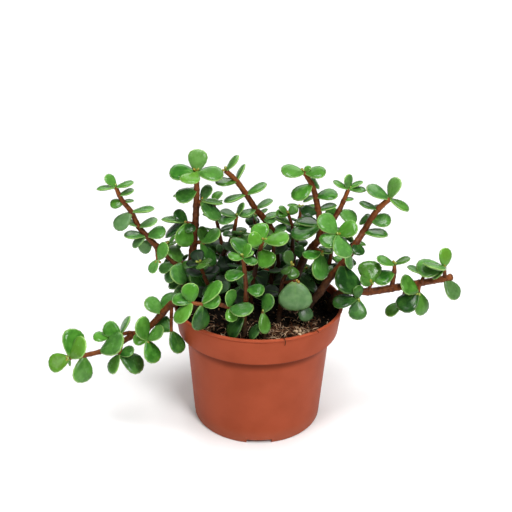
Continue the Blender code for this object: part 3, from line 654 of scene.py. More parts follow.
# %% The stems on the left
LEFT_STEMS = {
    "stem_left_trailer": [
        shoot(
            2.7, 1.5,
            joint((-43, -18, 88.5)),
            joint((-50, -20, 97)),
            joint((-59, -22, 96)),
            joint((-65.5, -22, 89), (15.5, 137, 10, 45), (19, 64, -10, 35)),
            joint((-75.5, -24, 78.5)),
            joint((-88.5, -22, 70)),
            joint((-100.5, -22, 61.5)),
            joint((-109.5, -26, 60), (22.5, 32, 15, 45)),
            joint((-120.5, -29, 58.5), (20, 271, 0, 45)),
            joint(
                (-129, -32, 58.5),
                (16.5, 201, 5, 20), (21, 81, -10, 35), (20, 47, 20, 40), (10, 230, -50, 30),
            ),
        ),
        shoot(
            1.3, 1.0,
            joint((-59, -22, 96)),
            joint((-59, -26, 88)),
            joint((-59, -28, 78.5), (17, 298, 5, 50), (15, 147, -10, 10)),
        ),
        shoot(
            1.2, 1.0,
            joint((-75.5, -24, 78.5)),
            joint(
                (-75.5, -31, 73),
                (18.5, 103, 15, 55), (10, 176, 20, 25), (15.5, 37, 20, 50), (17.5, 295, 10, 50),
            ),
        ),
        shoot(
            1.5, 1.2,
            joint((-83.5, -23, 73.5)),
            joint((-89.5, -20, 72)),
            joint((-95.5, -19, 70), (14, 153, 0, 5), (15, 73, -15, 65)),
            joint((-103.5, -19, 67.5), (12, 173, 15, 50)),
        ),
        shoot(
            1.5, 1.2,
            joint((-94.5, -22, 66)),
            joint((-96, -26, 58.5), (15.5, 242, 5, 45), (20.5, 329, -5, 50), (11.5, 20, 10, 45)),
        ),
    ],
    "stem_left_upper": [
        shoot(
            2.4, 1.4,
            joint((-49, -5, 88.5)),
            joint((-53, -3, 104), (16, 250, -30, 20)),
            joint((-59, 0, 117), (12.5, 208, 10, 45), (15.5, 280, 14, 45)),
            joint((-71, 0, 129.5)),
            joint((-77.5, 0, 137), (14.5, 17, 10, 40), (16, 176, 15, 65), (13, 215, 0, 55)),
            joint((-82.5, 0, 143.5), (14.5, 24, 10, 60), (11.5, 150, 10, 70)),
            joint((-87, 0, 154), (16.5, 226, 10, 35), (16.5, 14, 0, 70)),
            joint((-92, 0, 161), (9.5, 190, 10, 30), (8, 25, -35, 60)),
            joint((-94.5, 0, 166), (11, 22, 10, 60)),
            joint((-96.5, 0, 171.5), (11, 125, 20, 50), (13.5, 182, 5, 70), (13, 20, 5, 65)),
        ),
        shoot(
            1.4, 1.1,
            joint((-71, 0, 129.5)),
            joint((-69.5, -7, 122.5), (14, 60, 15, 40), (11, 242, 10, 40)),
        ),
        shoot(
            1.4, 1.1,
            joint((-72.5, 0, 131)),
            joint((-75, 3, 132), (11, 226, 0, 0)),
        ),
    ],
    "stem_left_upright": [
        shoot(
            3.4, 1.7,
            joint((-43, 14, 88.5)),
            joint((-46, 10, 100), (22, 186, -20, 55), (16, 300, -30, 10)),
            joint((-47, 5, 116), (24, 296, 8, 50)),
            joint((-45.5, 3, 131)),
            joint((-44, 2, 145)),
            joint((-43, 0, 159)),
            joint((-42.5, 0, 171), (16, 207, 15, 35), (22, 184, -20, 70)),
            joint(
                (-42.5, -2, 183.5),
                (16, 84, 10, 0), (18.5, 179, 5, 40), (17, 236, 40, 25), (19, 357, 5, 45),
            ),
        ),
        shoot(
            1.6, 1.2,
            joint((-47, 5, 116)),
            joint((-54, 0, 117), (15, 122, 0, 50), (18, 256, 14, 40), (9.5, 328, 25, 5)),
        ),
        shoot(
            1.8, 1.2,
            joint((-45.5, 3, 131)),
            joint((-40, 0, 133), (20, 301, 15, 50, 0.66), (11.5, 81, 0, 45), (16.5, 39, 5, 50)),
        ),
        shoot(
            1.8, 1.2,
            joint((-44, 2, 145)),
            joint(
                (-49.5, 0, 147),
                (12, 132, 10, 40), (9, 302, 30, 20), (17.5, 264, 0, 35), (19.5, 206, -10, 65),
                (19.5, 165, -20, 70),
            ),
        ),
        shoot(
            2.2, 1.3,
            joint((-43, 0, 159)),
            joint((-39.5, -1, 163), (13, 65, 5, 45), (18.5, 316, 15, 55), (15.5, 2, -15, 70)),
        ),
    ],
    "stem_thin_left": [
        shoot(
            1.8, 1.2,
            joint((-34, 28, 88.5)),
            joint((-31, 26, 101), (16, 150, -40, 20), (15, 20, -30, 20)),
            joint((-26, 20, 115.5), (8.5, 119, 15, 50), (14, 280, 10, 10)),
            joint((-21.5, 14, 126), (12, 330, -40, 20)),
            joint((-19, 11, 134), (7.5, 161, -10, 40), (14, 345, -25, 10)),
            joint((-17, 9, 142)),
            joint((-16, 8, 149), (11.5, 67, 10, 65), (12.5, 156, 0, 60), (14, 195, 15, 55)),
        ),
    ],
}
print("stems on the left:", len(LEFT_STEMS))

# %% The stems in the middle
MIDDLE_STEMS = {
    "stem_leaning_centre": [
        shoot(
            2.8, 1.7,
            joint((8, 28, 88.5)),
            joint((11, 24, 98), (16, 20, -30, 20), (16, 200, -20, 20)),
            joint((13, 22, 109), (15, 100, -60, 10)),
            joint((11, 20, 123), (14, 0, -40, 30), (14, 180, 10, 20)),
            joint((9, 18, 135), (13, 175, -20, 20), (11, 20, 10, 50)),
            joint((2.5, 15, 146), (10, 20, 10, 60), (10, 350, 30, 50)),
            joint((-3, 12, 153.5), (14, 34, 0, 65), (13, 205, 25, 60)),
            joint((-9.5, 10, 164.5), (16.5, 32, 10, 65), (17, 196, 10, 70)),
            joint((-16, 8, 174.5), (14, 74, -15, 70), (15.5, 184, 20, 60)),
            joint((-23, 5, 182.5), (14, 56, 10, 65)),
        ),
    ],
    "stem_front": [
        shoot(
            1.8, 1.3,
            joint((-9, -45, 88.5)),
            joint((-9, -46, 101), (19, 230, -12, 50)),
            joint((-8, -46, 113.5), (13, 170, -50, 10)),
            joint((-8, -46, 120.5), (12.5, 354, 15, 40)),
            joint((-9, -46, 131.5), (13.5, 191, 10, 50), (10, 165, -45, 20)),
            joint(
                (-10, -45, 141.5),
                (10, 68, 10, 50), (10.5, 171, 20, 55), (10.5, 340, 25, 55), (8, 34, 15, 65),
                (17, 103, -30, 35),
            ),
        ),
        shoot(
            1.5, 1.2,
            joint((-9, -46, 103.5)),
            joint((-13.5, -48, 106)),
            joint((-18.5, -49, 108), (13, 82, 20, 50), (17.5, 5, 15, 55), (10, 287, 20, 20)),
            joint((-27, -50, 111)),
            joint((-36, -51, 111), (13.5, 19, 20, 35), (20, 47, -5, 60), (18, 267, -5, 45)),
            joint((-42.5, -52, 112.5), (13.5, 97, 15, 5), (13.5, 162, -5, 45), (17, 232, 20, 50)),
        ),
    ],
    "shoot_front_small": [
        shoot(
            1.4, 1.0,
            joint((4, -50, 88.5)),
            joint((2.5, -50, 97.5), (13.5, 227, 5, 60)),
            joint((3, -50, 105.5), (13.5, 68, 15, 45), (14.5, 280, 10, 30, 0.62)),
        ),
    ],
    "stem_front_rosette": [
        shoot(
            1.8, 1.2,
            joint((-6, -16, 88.5)),
            joint((-5, -19, 103), (15, 185, -20, 20), (15, 10, -30, 20)),
            joint((-3, -22, 119), (14, 200, -10, 20), (13, 340, -30, 20)),
            joint((0.5, -26, 139), (13.5, 304, 15, 0, 0.96), (12, 100, -60, 0)),
            joint((2.5, -30, 147), (11.5, 174, 20, 0, 0.92), (12.5, 108, -5, 0, 1.02), (18, 9, 20, 50)),
        ),
    ],
    "stem_small_centre": [
        shoot(
            1.7, 1.1,
            joint((27, 24, 88.5)),
            joint((26, 25, 102), (15, 30, -40, 20), (14, 180, -30, 20)),
            joint((24, 25, 118), (13, 90, -60, 20), (13, 345, -30, 20)),
            joint((24, 25, 129), (12, 200, 0, 40)),
            joint((23, 22, 137.5), (19, 172, 0, 70), (11, 20, -10, 60)),
            joint((20, 20, 147), (9, 138, 10, 55), (9.5, 160, 25, 40), (8.5, 42, 10, 20)),
        ),
    ],
}
print("stems in the middle:", len(MIDDLE_STEMS))

# %% The stems on the right
RIGHT_STEMS = {
    "stem_forked_right": [
        shoot(
            2.9, 2.5,
            joint((15, -6, 88.5)),
            joint((19, -8, 97), (15, 20, -40, 20)),
            joint((26, -8, 113), (21.5, 331, -20, 60), (14, 160, -30, 20)),
            joint((30, -8, 124)),
            joint((36, -8, 134)),
            joint((40, -8, 139)),
        ),
        shoot(
            2.5, 1.6,
            joint((40, -8, 139)),
            joint((41, -6, 148), (22, 196, 10, 55), (18.5, 164, -25, 55)),
            joint((39, -4, 158.5), (12.5, 178, 10, 40), (14, 27, -10, 65)),
            joint((37, -2, 168), (15.5, 11, 5, 50), (10, 194, -25, 65)),
            joint((34, 0, 176), (17, 219, 15, 45), (12, 30, -60, 0)),
            joint((29, 0, 184), (16.5, 175, 15, 45), (15, 3, 15, 45), (6, 60, 20, 45)),
        ),
        shoot(
            2.1, 1.4,
            joint((40, -8, 139)),
            joint((47, 0, 146), (12, 170, -50, 20)),
            joint((53.5, 5, 155), (15, 340, -5, 35), (12, 190, -20, 20)),
            joint((57, 8, 162), (7.5, 20, -20, 65)),
            joint(
                (60, 10, 169.5),
                (12.5, 151, 10, 65), (11, 92, 25, 45), (12, 37, -10, 70), (12.5, 0, 15, 65),
            ),
        ),
        shoot(
            1.8, 1.2,
            joint((40, -8, 139)),
            joint((45, -16, 144.5)),
            joint(
                (50.5, -24, 150),
                (14, 213, 25, 25), (15, 27, 20, 30), (17.5, 132, 5, 30), (18.5, 290, 20, 35),
            ),
        ),
        shoot(
            1.7, 1.2,
            joint((36, -8, 134)),
            joint((41, -16, 134), (20, 270, 15, 30, 0.7), (14, 195, 30, 55), (8.5, 9, 0, 60)),
        ),
    ],
    "stem_right_upper": [
        shoot(
            2.7, 1.9,
            joint((33, -14, 88.5)),
            joint((42, -14, 103)),
            joint((49, -12, 114), (15, 100, -50, 20)),
            joint((56.5, -10, 122.5), (24, 279, 14, 30), (14, 80, -60, 10)),
            joint((62, -7, 129.5), (13, 245, 30, 50)),
            joint((66, -5, 136.5), (11, 279, 30, 15)),
            joint((70.5, 0, 142), (18, 1, 5, 65), (4, 51, 25, 5)),
            joint((75, 0, 151), (14.5, 3, 15, 35), (12, 170, -60, 20)),
            joint((79.5, 0, 159), (14, 158, 5, 65), (9, 60, -40, 30)),
            joint((86.5, 0, 166.5), (16, 75, 15, 55), (18, 150, 5, 50), (16, 333, 10, 60)),
        ),
    ],
    "stem_right_trailer": [
        shoot(
            2.9, 2.2,
            joint((50, -5, 88.5)),
            joint((56, -12, 101)),
            joint((63, -18, 107)),
            joint((74, -19, 106.5)),
            joint((91, -14, 107)),
            joint((111.5, -6, 107.5)),
            joint((130.5, 2, 107.5), (17.5, 305, 10, 35)),
            joint((135.5, 4, 108)),
        ),
        shoot(
            1.8, 1.2,
            joint((91, -14, 107)),
            joint((91.5, -15, 119.5), (16, 202, 12, 40)),
            joint((91, -16, 125.5), (13.5, 158, 10, 55), (12, 30, 5, 70)),
        ),
        shoot(
            1.4, 1.1,
            joint((74, -19, 106.5)),
            joint((75.5, -21, 113), (17, 94, -8, 0, 1), (10, 150, 10, 40)),
        ),
        shoot(
            1.4, 1.1,
            joint((111.5, -6, 107.5)),
            joint((110, -12, 103.5), (18, 147, 20, 35), (19, 205, -5, 35), (17.5, 288, 10, 35)),
        ),
        shoot(
            1.5, 1.2,
            joint((130.5, 2, 107.5)),
            joint(
                (128, -4, 118.5),
                (20.5, 180, -3, 40), (20.5, 178, 28, 80), (14.5, 89, 10, 30), (12, 195, 10, 80),
            ),
        ),
        shoot(
            1.5, 1.2,
            joint((63, -18, 107)),
            joint((66.5, -27, 105), (15, 269, 15, 0), (10, 80, 22, 30), (18, 189, 0, 55)),
        ),
        shoot(
            1.4, 1.1,
            joint((101, -11, 107.5)),
            joint((101.5, -4, 91.5), (15.5, 215, 0, 60)),
        ),
        shoot(
            1.4, 1.0,
            joint((112, -8, 108.5)),
            joint((114, -6, 114), (13.5, 140, -15, 65)),
        ),
    ],
    "stem_grey_front": [
        shoot(
            1.8, 1.2,
            joint((14, -27, 88.5)),
            joint((15, -26, 97)),
            joint((15, -26, 107), (14.5, 167, -20, 40)),
            joint((16, -25, 116), (12, 30, -50, 20)),
            joint((21, -25, 127), (11.5, 105, 15, 35), (9.5, 290, 25, 15), (9, 221, 20, 50)),
        ),
        shoot(
            1.4, 1.2,
            joint((16, -25, 115)),
            joint((24, -31, 119), (21, 272, -5, 0, 1.03)),
        ),
        shoot(
            1.3, 1.1,
            joint((15, -26, 98)),
            joint((29, -30, 101.5), (12.5, 294, 10, 20)),
        ),
    ],
}
print("stems on the right:", len(RIGHT_STEMS))

# %% [markdown]
# ## The stems that fill the bush
#
# Behind and between those are nine more stems, of which only leaves show here and there. They are grown by
# the plant's own rule with a seeded draw for its unevenness, so they come out the same each time. Each has
# its foot in the soil and its tip in millimetres, a number of joints and of side shoots.

# %% The grown stems
Growth = namedtuple("Growth", "foot tip joints side_shoots")
GROWN = {
    "stem_middle_left": Growth((-26, -6, 88.5), (-40, -16, 124), 4, 0),
    "stem_middle": Growth((-16, 8, 88.5), (-14, 6, 136), 4, 1),
    "stem_middle_right": Growth((8, 4, 88.5), (10, 0, 136), 4, 1),
    "stem_inner_right": Growth((46, 8, 88.5), (52, 10, 138), 4, 1),
    "stem_back_left_low": Growth((-44, 24, 88.5), (-66, 30, 118), 4, 1),
    "stem_back_left": Growth((-20, 36, 88.5), (-34, 46, 146), 5, 1),
    "stem_back_middle": Growth((0, 42, 88.5), (-4, 48, 134), 5, 1),
    "stem_back_right": Growth((24, 40, 88.5), (30, 46, 142), 5, 1),
    "stem_back_right_low": Growth((44, 26, 88.5), (68, 34, 120), 4, 1),
}
GROWTH_SEED = 7
GROWTH_TIP_MM = 1.1
GROWTH_TAPER = 0.013
GROWTH_BOW = 0.12
GROWTH_TURN_UP = 0.3
LEAF_LOW_MM = 17
LEAF_HIGH_MM = 12
ROSETTE_SHARE = 0.75
LEAF_RISE = math.radians(24)
UNEVEN_TURN = math.radians(17)
UNEVEN_RISE = math.radians(17)
UNEVEN_SIZE = 0.1
SIDE_SHOOT_MM = 15
SIDE_SHOOT_FOOT_MM = 1.5
SIDE_SHOOT_JOINTS = 2
SIDE_SHOOT_TURN = (0.2, 0.5)
SIDE_SHOOT_RISE = (0.3, 0.7)


def angles_of(along, face):
    """The clock, lean and tip angles of a leaf that points along one direction and faces another."""
    clock = math.degrees(math.atan2(along.dot(UPWARD), along.dot(RIGHT)))
    lean = math.degrees(math.asin(max(-1.0, min(1.0, along.dot(TOWARDS)))))
    to_eye = leaf_axes(clock, lean, 0).col[2]
    to_sky = leaf_axes(clock, lean, 90).col[2]
    tip = math.degrees(math.atan2(face.dot(to_sky), face.dot(to_eye)))
    return round(clock), round(lean), round(tip)


def opposite_leaves(upward, turn, length, draw):
    """Two leaves that stand opposite each other at a joint, their faces towards the shoot's tip."""
    leaves = []
    for side in (0, math.pi):
        around = Matrix.Rotation(turn + side + draw.uniform(-UNEVEN_TURN, UNEVEN_TURN), 3, upward)
        outward = around @ upward.orthogonal().normalized()
        rise = LEAF_RISE + draw.uniform(-UNEVEN_RISE, UNEVEN_RISE)
        along = math.cos(rise) * outward + math.sin(rise) * upward
        face = math.cos(rise) * upward - math.sin(rise) * outward
        size = round(length * draw.uniform(1 - UNEVEN_SIZE, 1 + UNEVEN_SIZE), 1)
        leaves.append((size, *angles_of(along, face)))
    return leaves


def grown_shoot(foot, tip, joints, turn, foot_mm, draw):
    """A shoot with a pair of leaves at each joint, a quarter turn from the pair below, and four at its tip.

    It leaves its foot outwards and then turns up.
    """
    start, end = Vector(foot), Vector(tip)
    outwards = Vector((end.x - start.x, end.y - start.y, 0))
    buds = [joint(foot)]
    for number in range(1, joints + 1):
        share = number / joints
        place = start.lerp(end, share) + GROWTH_BOW * math.sin(math.pi * share) * outwards
        upward = (end - start).normalized().lerp(Vector((0, 0, 1)), GROWTH_TURN_UP * share).normalized()
        length = LEAF_LOW_MM + share * (LEAF_HIGH_MM - LEAF_LOW_MM)
        quarter = turn + number * math.pi / 2
        leaves = opposite_leaves(upward, quarter, length, draw)
        if number == joints:
            leaves += opposite_leaves(upward, quarter + math.pi / 2, ROSETTE_SHARE * length, draw)
        buds.append(joint(place, *leaves))
    return shoot(foot_mm, GROWTH_TIP_MM, *buds)


def grown_stem(growth, draw):
    """A stem and its side shoots, which start from its lower joints."""
    turn = draw.uniform(0, math.pi)
    foot_mm = GROWTH_TIP_MM + GROWTH_TAPER * (growth.tip[2] - growth.foot[2])
    shoots = [grown_shoot(growth.foot, growth.tip, growth.joints, turn, foot_mm, draw)]
    for number in range(growth.side_shoots):
        start = shoots[0].joints[1 + 2 * number].place / MM
        away = turn + math.pi * (number + draw.uniform(*SIDE_SHOOT_TURN))
        side = Vector((math.cos(away), math.sin(away), draw.uniform(*SIDE_SHOOT_RISE))).normalized()
        end = start + SIDE_SHOOT_MM * side
        shoots.append(grown_shoot(start, end, SIDE_SHOOT_JOINTS, away, SIDE_SHOOT_FOOT_MM, draw))
    return shoots


def all_stems():
    """Every stem by name: those drawn leaf by leaf, then those grown by the rule."""
    stems = {**LEFT_STEMS, **MIDDLE_STEMS, **RIGHT_STEMS}
    for number, (name, growth) in enumerate(GROWN.items()):
        stems[name] = grown_stem(growth, random.Random(GROWTH_SEED + number))
    return stems


STEMS = all_stems()
print("stems:", len(STEMS), "with", sum(len(shoots) for shoots in STEMS.values()), "shoots")

# %% [markdown]
# ## Where each leaf lies
#
# A real leaf bends aside where it meets another one, and so did the solids: some leaves are turned, leaned or
# made a little smaller. The finer leaves have to lie exactly where the solids' leaves lie. So each leaf is
# tried in all those ways, the slightest first, and the way whose corners are found among the corners of the
# node in the frame is the one that was built. A search tree makes each look-up fast. A leaf that had no room
# has no match, and is left out here too.

# %% The leaf's form
LEAF_SIDES = 7
LEAF_BREADTH = 0.86
LEAF_THICK = 0.16
LEAF_THICK_LEAST = 1.8 * MM
LEAF_TAPER = 0.55
LEAF_WIDEST = 1.2
LEAF_BELLY = 0.55
LEAF_ARCH = 0.08
LEAF_SINK = 1 * MM
BENDS = (0, 8, -8, 16, -16, 26, -26)
SIZES = (1.0, 0.88, 0.76)
BEND_FOR_SIZE = 120
SAME_PLACE = 0.05 * MM
TIP_CORNERS = 2
CORNERS_TRIED = 5
CORNERS_ENOUGH = 3

Leaf = namedtuple("Leaf", "stem length breadth place age clock")


def outline_share(x, taper=LEAF_TAPER):
    """The blade's breadth at a share x of its length, as a share of the widest."""
    across = math.sqrt(max(0.0, 1 - (2 * x - 1) ** 2))
    return LEAF_WIDEST * across * max(x, 0.0) ** taper


def leaf_at(stem, place, age, length, clock, lean, tip, breadth=LEAF_BREADTH):
    """The leaf that grows at this place in the direction of its angles."""
    axes = leaf_axes(clock, lean, tip)
    root = place - LEAF_SINK * axes.col[0]
    spread = Matrix.Translation(root) @ axes.to_4x4()
    return Leaf(stem, length * MM + LEAF_SINK, breadth, spread, age, clock)


def solid_corners(leaf):
    """The first few corners of the solid's blade round its edge, from the tip on."""
    corners = []
    for number in range(LEAF_SIDES):
        angle = math.tau * (number / LEAF_SIDES + 0.75)
        x = 0.5 + 0.5 * math.cos(angle)
        y = math.copysign(0.5 * outline_share(x) * leaf.breadth * leaf.length, math.sin(angle))
        corners.append((x, Vector((x * leaf.length, y, -LEAF_ARCH * leaf.length * x * x))))
    corners.sort(key=lambda corner: -corner[0])
    return [leaf.place @ corner for x, corner in corners[:CORNERS_TRIED]]


# %% Finding the leaves in the frame
def corners_of(node):
    """A search tree of a node's corners."""
    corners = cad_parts[node].data.vertices
    tree = kdtree.KDTree(len(corners))
    for number, v in enumerate(corners):
        tree.insert(v.co, number)
    tree.balance()
    return tree


def corners_found(leaf, tree):
    """How many of the blade's corners the node has, or none if it has neither of those at the tip."""
    hits = [tree.find(corner)[2] < SAME_PLACE for corner in solid_corners(leaf)]
    return sum(hits) if any(hits[:TIP_CORNERS]) else 0


def found_leaf(stem, place, age, given, tree):
    """The leaf as it lies in the frame, or None where it was left out."""
    length, clock, lean, tip, *breadth = given
    for turn, more_lean, size in WAYS_TO_LIE:
        leaf = leaf_at(stem, place, age, length * size, clock + turn, lean + more_lean, tip, *breadth)
        if corners_found(leaf, tree) >= CORNERS_ENOUGH:
            return leaf._replace(clock=clock)
    return None


WAYS_TO_LIE = sorted(
    [(turn, lean, size) for turn in BENDS for lean in BENDS for size in SIZES],
    key=lambda way: abs(way[0]) + abs(way[1]) + BEND_FOR_SIZE * (1 - way[2]),
)
leaves_of = {}
left_out = []
for stem, shoots in STEMS.items():
    tree = corners_of(stem)
    leaves_of[stem] = []
    for number, one in enumerate(shoots):
        oldest = 1.0 if number == 0 else 0.5
        for step, bud in enumerate(one.joints):
            age = oldest * (1 - step / (len(one.joints) - 1))
            for given in bud.leaves:
                leaf = found_leaf(stem, bud.place, age, given, tree)
                if leaf:
                    leaves_of[stem].append(leaf)
                else:
                    left_out.append(f"{given[0]} mm on {stem}")
print("leaves found in the frame:", sum(len(leaves) for leaves in leaves_of.values()))
print("leaves with no room:", ", ".join(left_out))

# %% [markdown]
# ## A blade
#
# The leaf of an elephant bush is a thick little spoon: rounded or broadest towards its tip, narrow at its
# root, fleshy, nearly flat above and fuller below, with a blunt rounded edge. Extruding an outline would give
# a flat biscuit with a hard edge. So the blade starts as a ball with a few rings, and each ring is laid at
# its share of the outline and its share of the thickness. Three hundred leaves repeat it, so it has only
# eighty faces, and smooth shading does the rest. Every leaf gets its own slight cup, hollow and wave. Two
# attributes go with the surface. "blade" holds the place along and across the leaf, and how near the edge it
# is, or -1 on its underside. "tone" holds how bright, how young and how matt the leaf is, and how much of it
# still has the brown of a bud.

# %% One blade
# The taper of a leaf that is rounder at its root than the others, by its stem and clock direction.
ROUND_LEAVES = {("stem_grey_front", 272): 0.3}
CUP = (-0.05, 0.16)
WAVE = (0.0, 0.03)
HOLLOW = (-0.1, 0.2)
ROUNDER_ROOT = (0.0, 0.12)
BLADE_SIDES = 16
BLADE_BANDS = 5
BLADE_REACH = 0.965
# Height on the ball, share of the outline, share of the half thickness, and how much of it is edge.
BLADE_RINGS = (
    (1.0, 0.0, 1.0, 0.0),
    (0.81, 0.56, 0.88, 0.0),
    (0.31, 0.89, 0.6, 0.0),
    (-0.31, 1.0, -0.05, 1.0),
    (-0.81, 0.72, -0.8, 0.0),
    (-1.0, 0.0, -1.0, 0.0),
)


def add_blade(shape, leaf, draw, tone):
    """Adds one blade to a bmesh that has the layers "blade" and "tone"."""
    blade_layer = shape.verts.layers.float_vector["blade"]
    tone_layer = shape.verts.layers.float_color["tone"]
    cup = draw.uniform(*CUP)
    wave = draw.uniform(*WAVE)
    wave_from = draw.uniform(0, math.tau)
    hollow = draw.uniform(*HOLLOW)
    taper = ROUND_LEAVES.get((leaf.stem, leaf.clock), LEAF_TAPER - draw.uniform(*ROUNDER_ROOT))
    half = 0.5 * max(LEAF_THICK * leaf.length, LEAF_THICK_LEAST)
    ball = bmesh.ops.create_uvsphere(shape, u_segments=BLADE_SIDES, v_segments=BLADE_BANDS, radius=1)
    for v in ball["verts"]:
        height, reach, rise, edge = min(BLADE_RINGS, key=lambda ring: abs(ring[0] - v.co.z))
        angle = math.atan2(v.co.y, v.co.x)
        end = 0.5 + 0.5 * math.cos(angle)
        out = math.copysign(0.5 * outline_share(end, taper) * leaf.breadth, math.sin(angle))
        out *= 1 + wave * math.sin(3 * angle + wave_from)
        x = LEAF_BELLY + reach * (BLADE_REACH * end - LEAF_BELLY)
        y = reach * out
        z = rise * half / leaf.length * (1 - hollow * (1 - reach) * (rise > 0))
        z += cup * y * y - LEAF_ARCH * x * x
        v[blade_layer] = (x, 0.5 + y / leaf.breadth, edge if rise > -0.5 else -1.0)
        v[tone_layer] = tone
        v.co = leaf.place @ (Vector((x, y, z)) * leaf.length)


print("faces in a blade:", BLADE_SIDES * BLADE_BANDS)

# %% [markdown]
# ## The leaves' finish
#
# Fresh leaves are a clear mid green with a wax gloss, and a thin paler line runs round their edge, where the
# flesh is thinnest; the line is also a painted highlight along the rounded edge, so it is painted lighter on
# leaves in light and darker on leaves in shade. The youngest are yellow-green, old ones are a dull dark green,
# and a few have a grey-green bloom of wax and hardly shine. The leaf's brightness is partly painted light and
# shade: leaves that get more light are painted a lighter green, and leaves in shade a darker one. One
# material holds all of this and reads the leaf's tone, so no two leaves are quite alike. A brightness below
# nought is painted shade deep in the bush, where a leaf is painted nearly black and doesn't shine either. The
# highlights come mostly from the shader: the roughness is low, and rises with the bloom and the depth. Pale
# patches and a lighter tip are a painted sheen on top. A soft bump dents the surface, so that the highlight
# breaks into the streaks a real leaf shows.

# %% The greens of a leaf
# The darker pair of greens is for old leaves and painted shade, the lighter pair for fresh leaves and painted
# light.
SHADED_AND_OLD_GREENS = ((0.005, 0.024, 0.006), (0.010, 0.044, 0.009))
LIT_AND_FRESH_GREENS = ((0.030, 0.160, 0.013), (0.050, 0.220, 0.018))
BLOOM_GREENS = ((0.085, 0.165, 0.070), (0.15, 0.25, 0.115))
# The green of painted deep shade, for leaves deep in the bush.
PAINTED_DEEP_SHADE = (0.001, 0.004, 0.001)
YOUNG_GREEN = (0.20, 0.40, 0.030)
# The colour of a painted sheen on the leaves.
PAINTED_SHEEN = (0.12, 0.34, 0.05)
RIB_GREEN = (0.13, 0.28, 0.05)
ROOT_GREEN = (0.20, 0.27, 0.06)
UNDERSIDE_GREEN = (0.07, 0.15, 0.045)
EDGE_IN_SHADE = (0.025, 0.085, 0.016)
EDGE_IN_LIGHT = (0.36, 0.58, 0.16)
BUD_BROWN = (0.30, 0.115, 0.02)


def leaf_colour(tree, place, bright, young, bloom):
    """The leaf's green by its tone, with painted light and shade, and painted sheen, rib, root and edge."""
    along, across, edge = parts_of(tree, mark(tree, "blade", "Vector"))
    # The brightness mixes painted shade and painted light into the leaf's green.
    colour = blended(
        tree, bright, tinted(tree, place, SHADED_AND_OLD_GREENS, 380.0), tinted(tree, place, LIT_AND_FRESH_GREENS, 300.0)
    )
    # A brightness below nought darkens the leaf towards the painted deep shade.
    colour = blended(tree, between(tree, bright, -1.0, 0.0, 0.92, 0.0), colour, PAINTED_DEEP_SHADE)
    colour = blended(tree, young, colour, YOUNG_GREEN)
    # Painted sheen: pale noise patches and a lighter tip, stronger on brighter leaves.
    patch = between(tree, noise_node(tree, place, 150, 3), 0.40, 0.68, 0.0, 0.38)
    patch = worked(tree, "ADD", patch, between(tree, along, 0.35, 1.0, 0.0, 0.1))
    patch = worked(tree, "MULTIPLY", patch, between(tree, bright, -0.4, 0.6))
    colour = blended(tree, patch, colour, PAINTED_SHEEN)
    colour = blended(tree, bloom, colour, tinted(tree, place, BLOOM_GREENS, 230.0))
    from_rib = worked(tree, "ABSOLUTE", worked(tree, "SUBTRACT", across, 0.5), 0)
    rib = between(tree, from_rib, 0.0, 0.045, 1.0, 0.0)
    rib = worked(tree, "MULTIPLY", rib, between(tree, along, 0.15, 0.75, 0.3, 0.0))
    colour = blended(tree, rib, colour, RIB_GREEN)
    colour = blended(tree, between(tree, along, 0.03, 0.2, 0.5, 0.0), colour, ROOT_GREEN)
    colour = blended(tree, between(tree, edge, -0.9, -0.2, 0.55, 0.0), colour, UNDERSIDE_GREEN)
    # The edge line is partly the paler margin and partly a painted highlight along the rounded edge, painted
    # darker in shade.
    uneven = between(tree, noise_node(tree, place, 220, 2), 0.3, 0.7, 0.65, 1.0)
    line = worked(tree, "MULTIPLY", between(tree, edge, 0.18, 0.65), uneven)
    line = worked(tree, "MULTIPLY", line, between(tree, bloom, 0.3, 0.8, 1.0, 0.25))
    pale = blended(tree, between(tree, bright, -0.2, 0.7), EDGE_IN_SHADE, EDGE_IN_LIGHT)
    colour = blended(tree, worked(tree, "MULTIPLY", line, 0.8), colour, pale)
    return blended(tree, mark(tree, "tone", "Alpha"), colour, BUD_BROWN)


# %% Waxy leaf
def waxy_leaf():
    """The leaf's finish, which reads the attributes blade and tone."""
    made, tree, shader = new_finish("waxy_leaf", 0.24)
    place = own_place(tree)
    bright, young, bloom = parts_of(tree, mark(tree, "tone", "Vector"))
    feed(tree, leaf_colour(tree, place, bright, young, bloom), shader.inputs["Base Color"])
    gloss = between(tree, noise_node(tree, place, 260, 3), 0.3, 0.75, 0.1, 0.28)
    depth = between(tree, bright, -0.5, 0.2, 0.3, 0.0)
    matt = worked(tree, "ADD", worked(tree, "MULTIPLY", bloom, 0.3), depth)
    feed(tree, worked(tree, "ADD", gloss, matt), shader.inputs["Roughness"])
    grain = placed_group(tree, FINE_GRAIN, place, grain_scale=1500.0, wave_scale=190.0, wave_share=0.86)
    bumped(tree, shader, grain.outputs["Height"], 0.3 * MM)
    return made


LEAF_FINISH = waxy_leaf()
print("leaf finish:", LEAF_FINISH.name)

# %% [markdown]
# ## Which leaf has which tone
#
# The outer leaves at the front get the most light, and painted light makes them the brightest. Leaves low in
# the middle of the bush lie in shade, which is painted in as a darker green. Old leaves are darker too, and
# the leaves at a shoot's end are the youngest. So the tone follows the stem, the leaf's age and how deep
# inside the bush it lies, with a seeded draw on top. Many leaves at the front stand out by themselves: a big
# grey-green one low in the middle, some with a bloom of wax, and yellow-green ones at the shoots' ends. The
# brightness of these is partly painted light and shade as well, down to nearly black for leaves deep in shade.
# These are named by their stem and their clock direction. Every shoot also ends in a pair of tiny leaves that
# are only just opening.

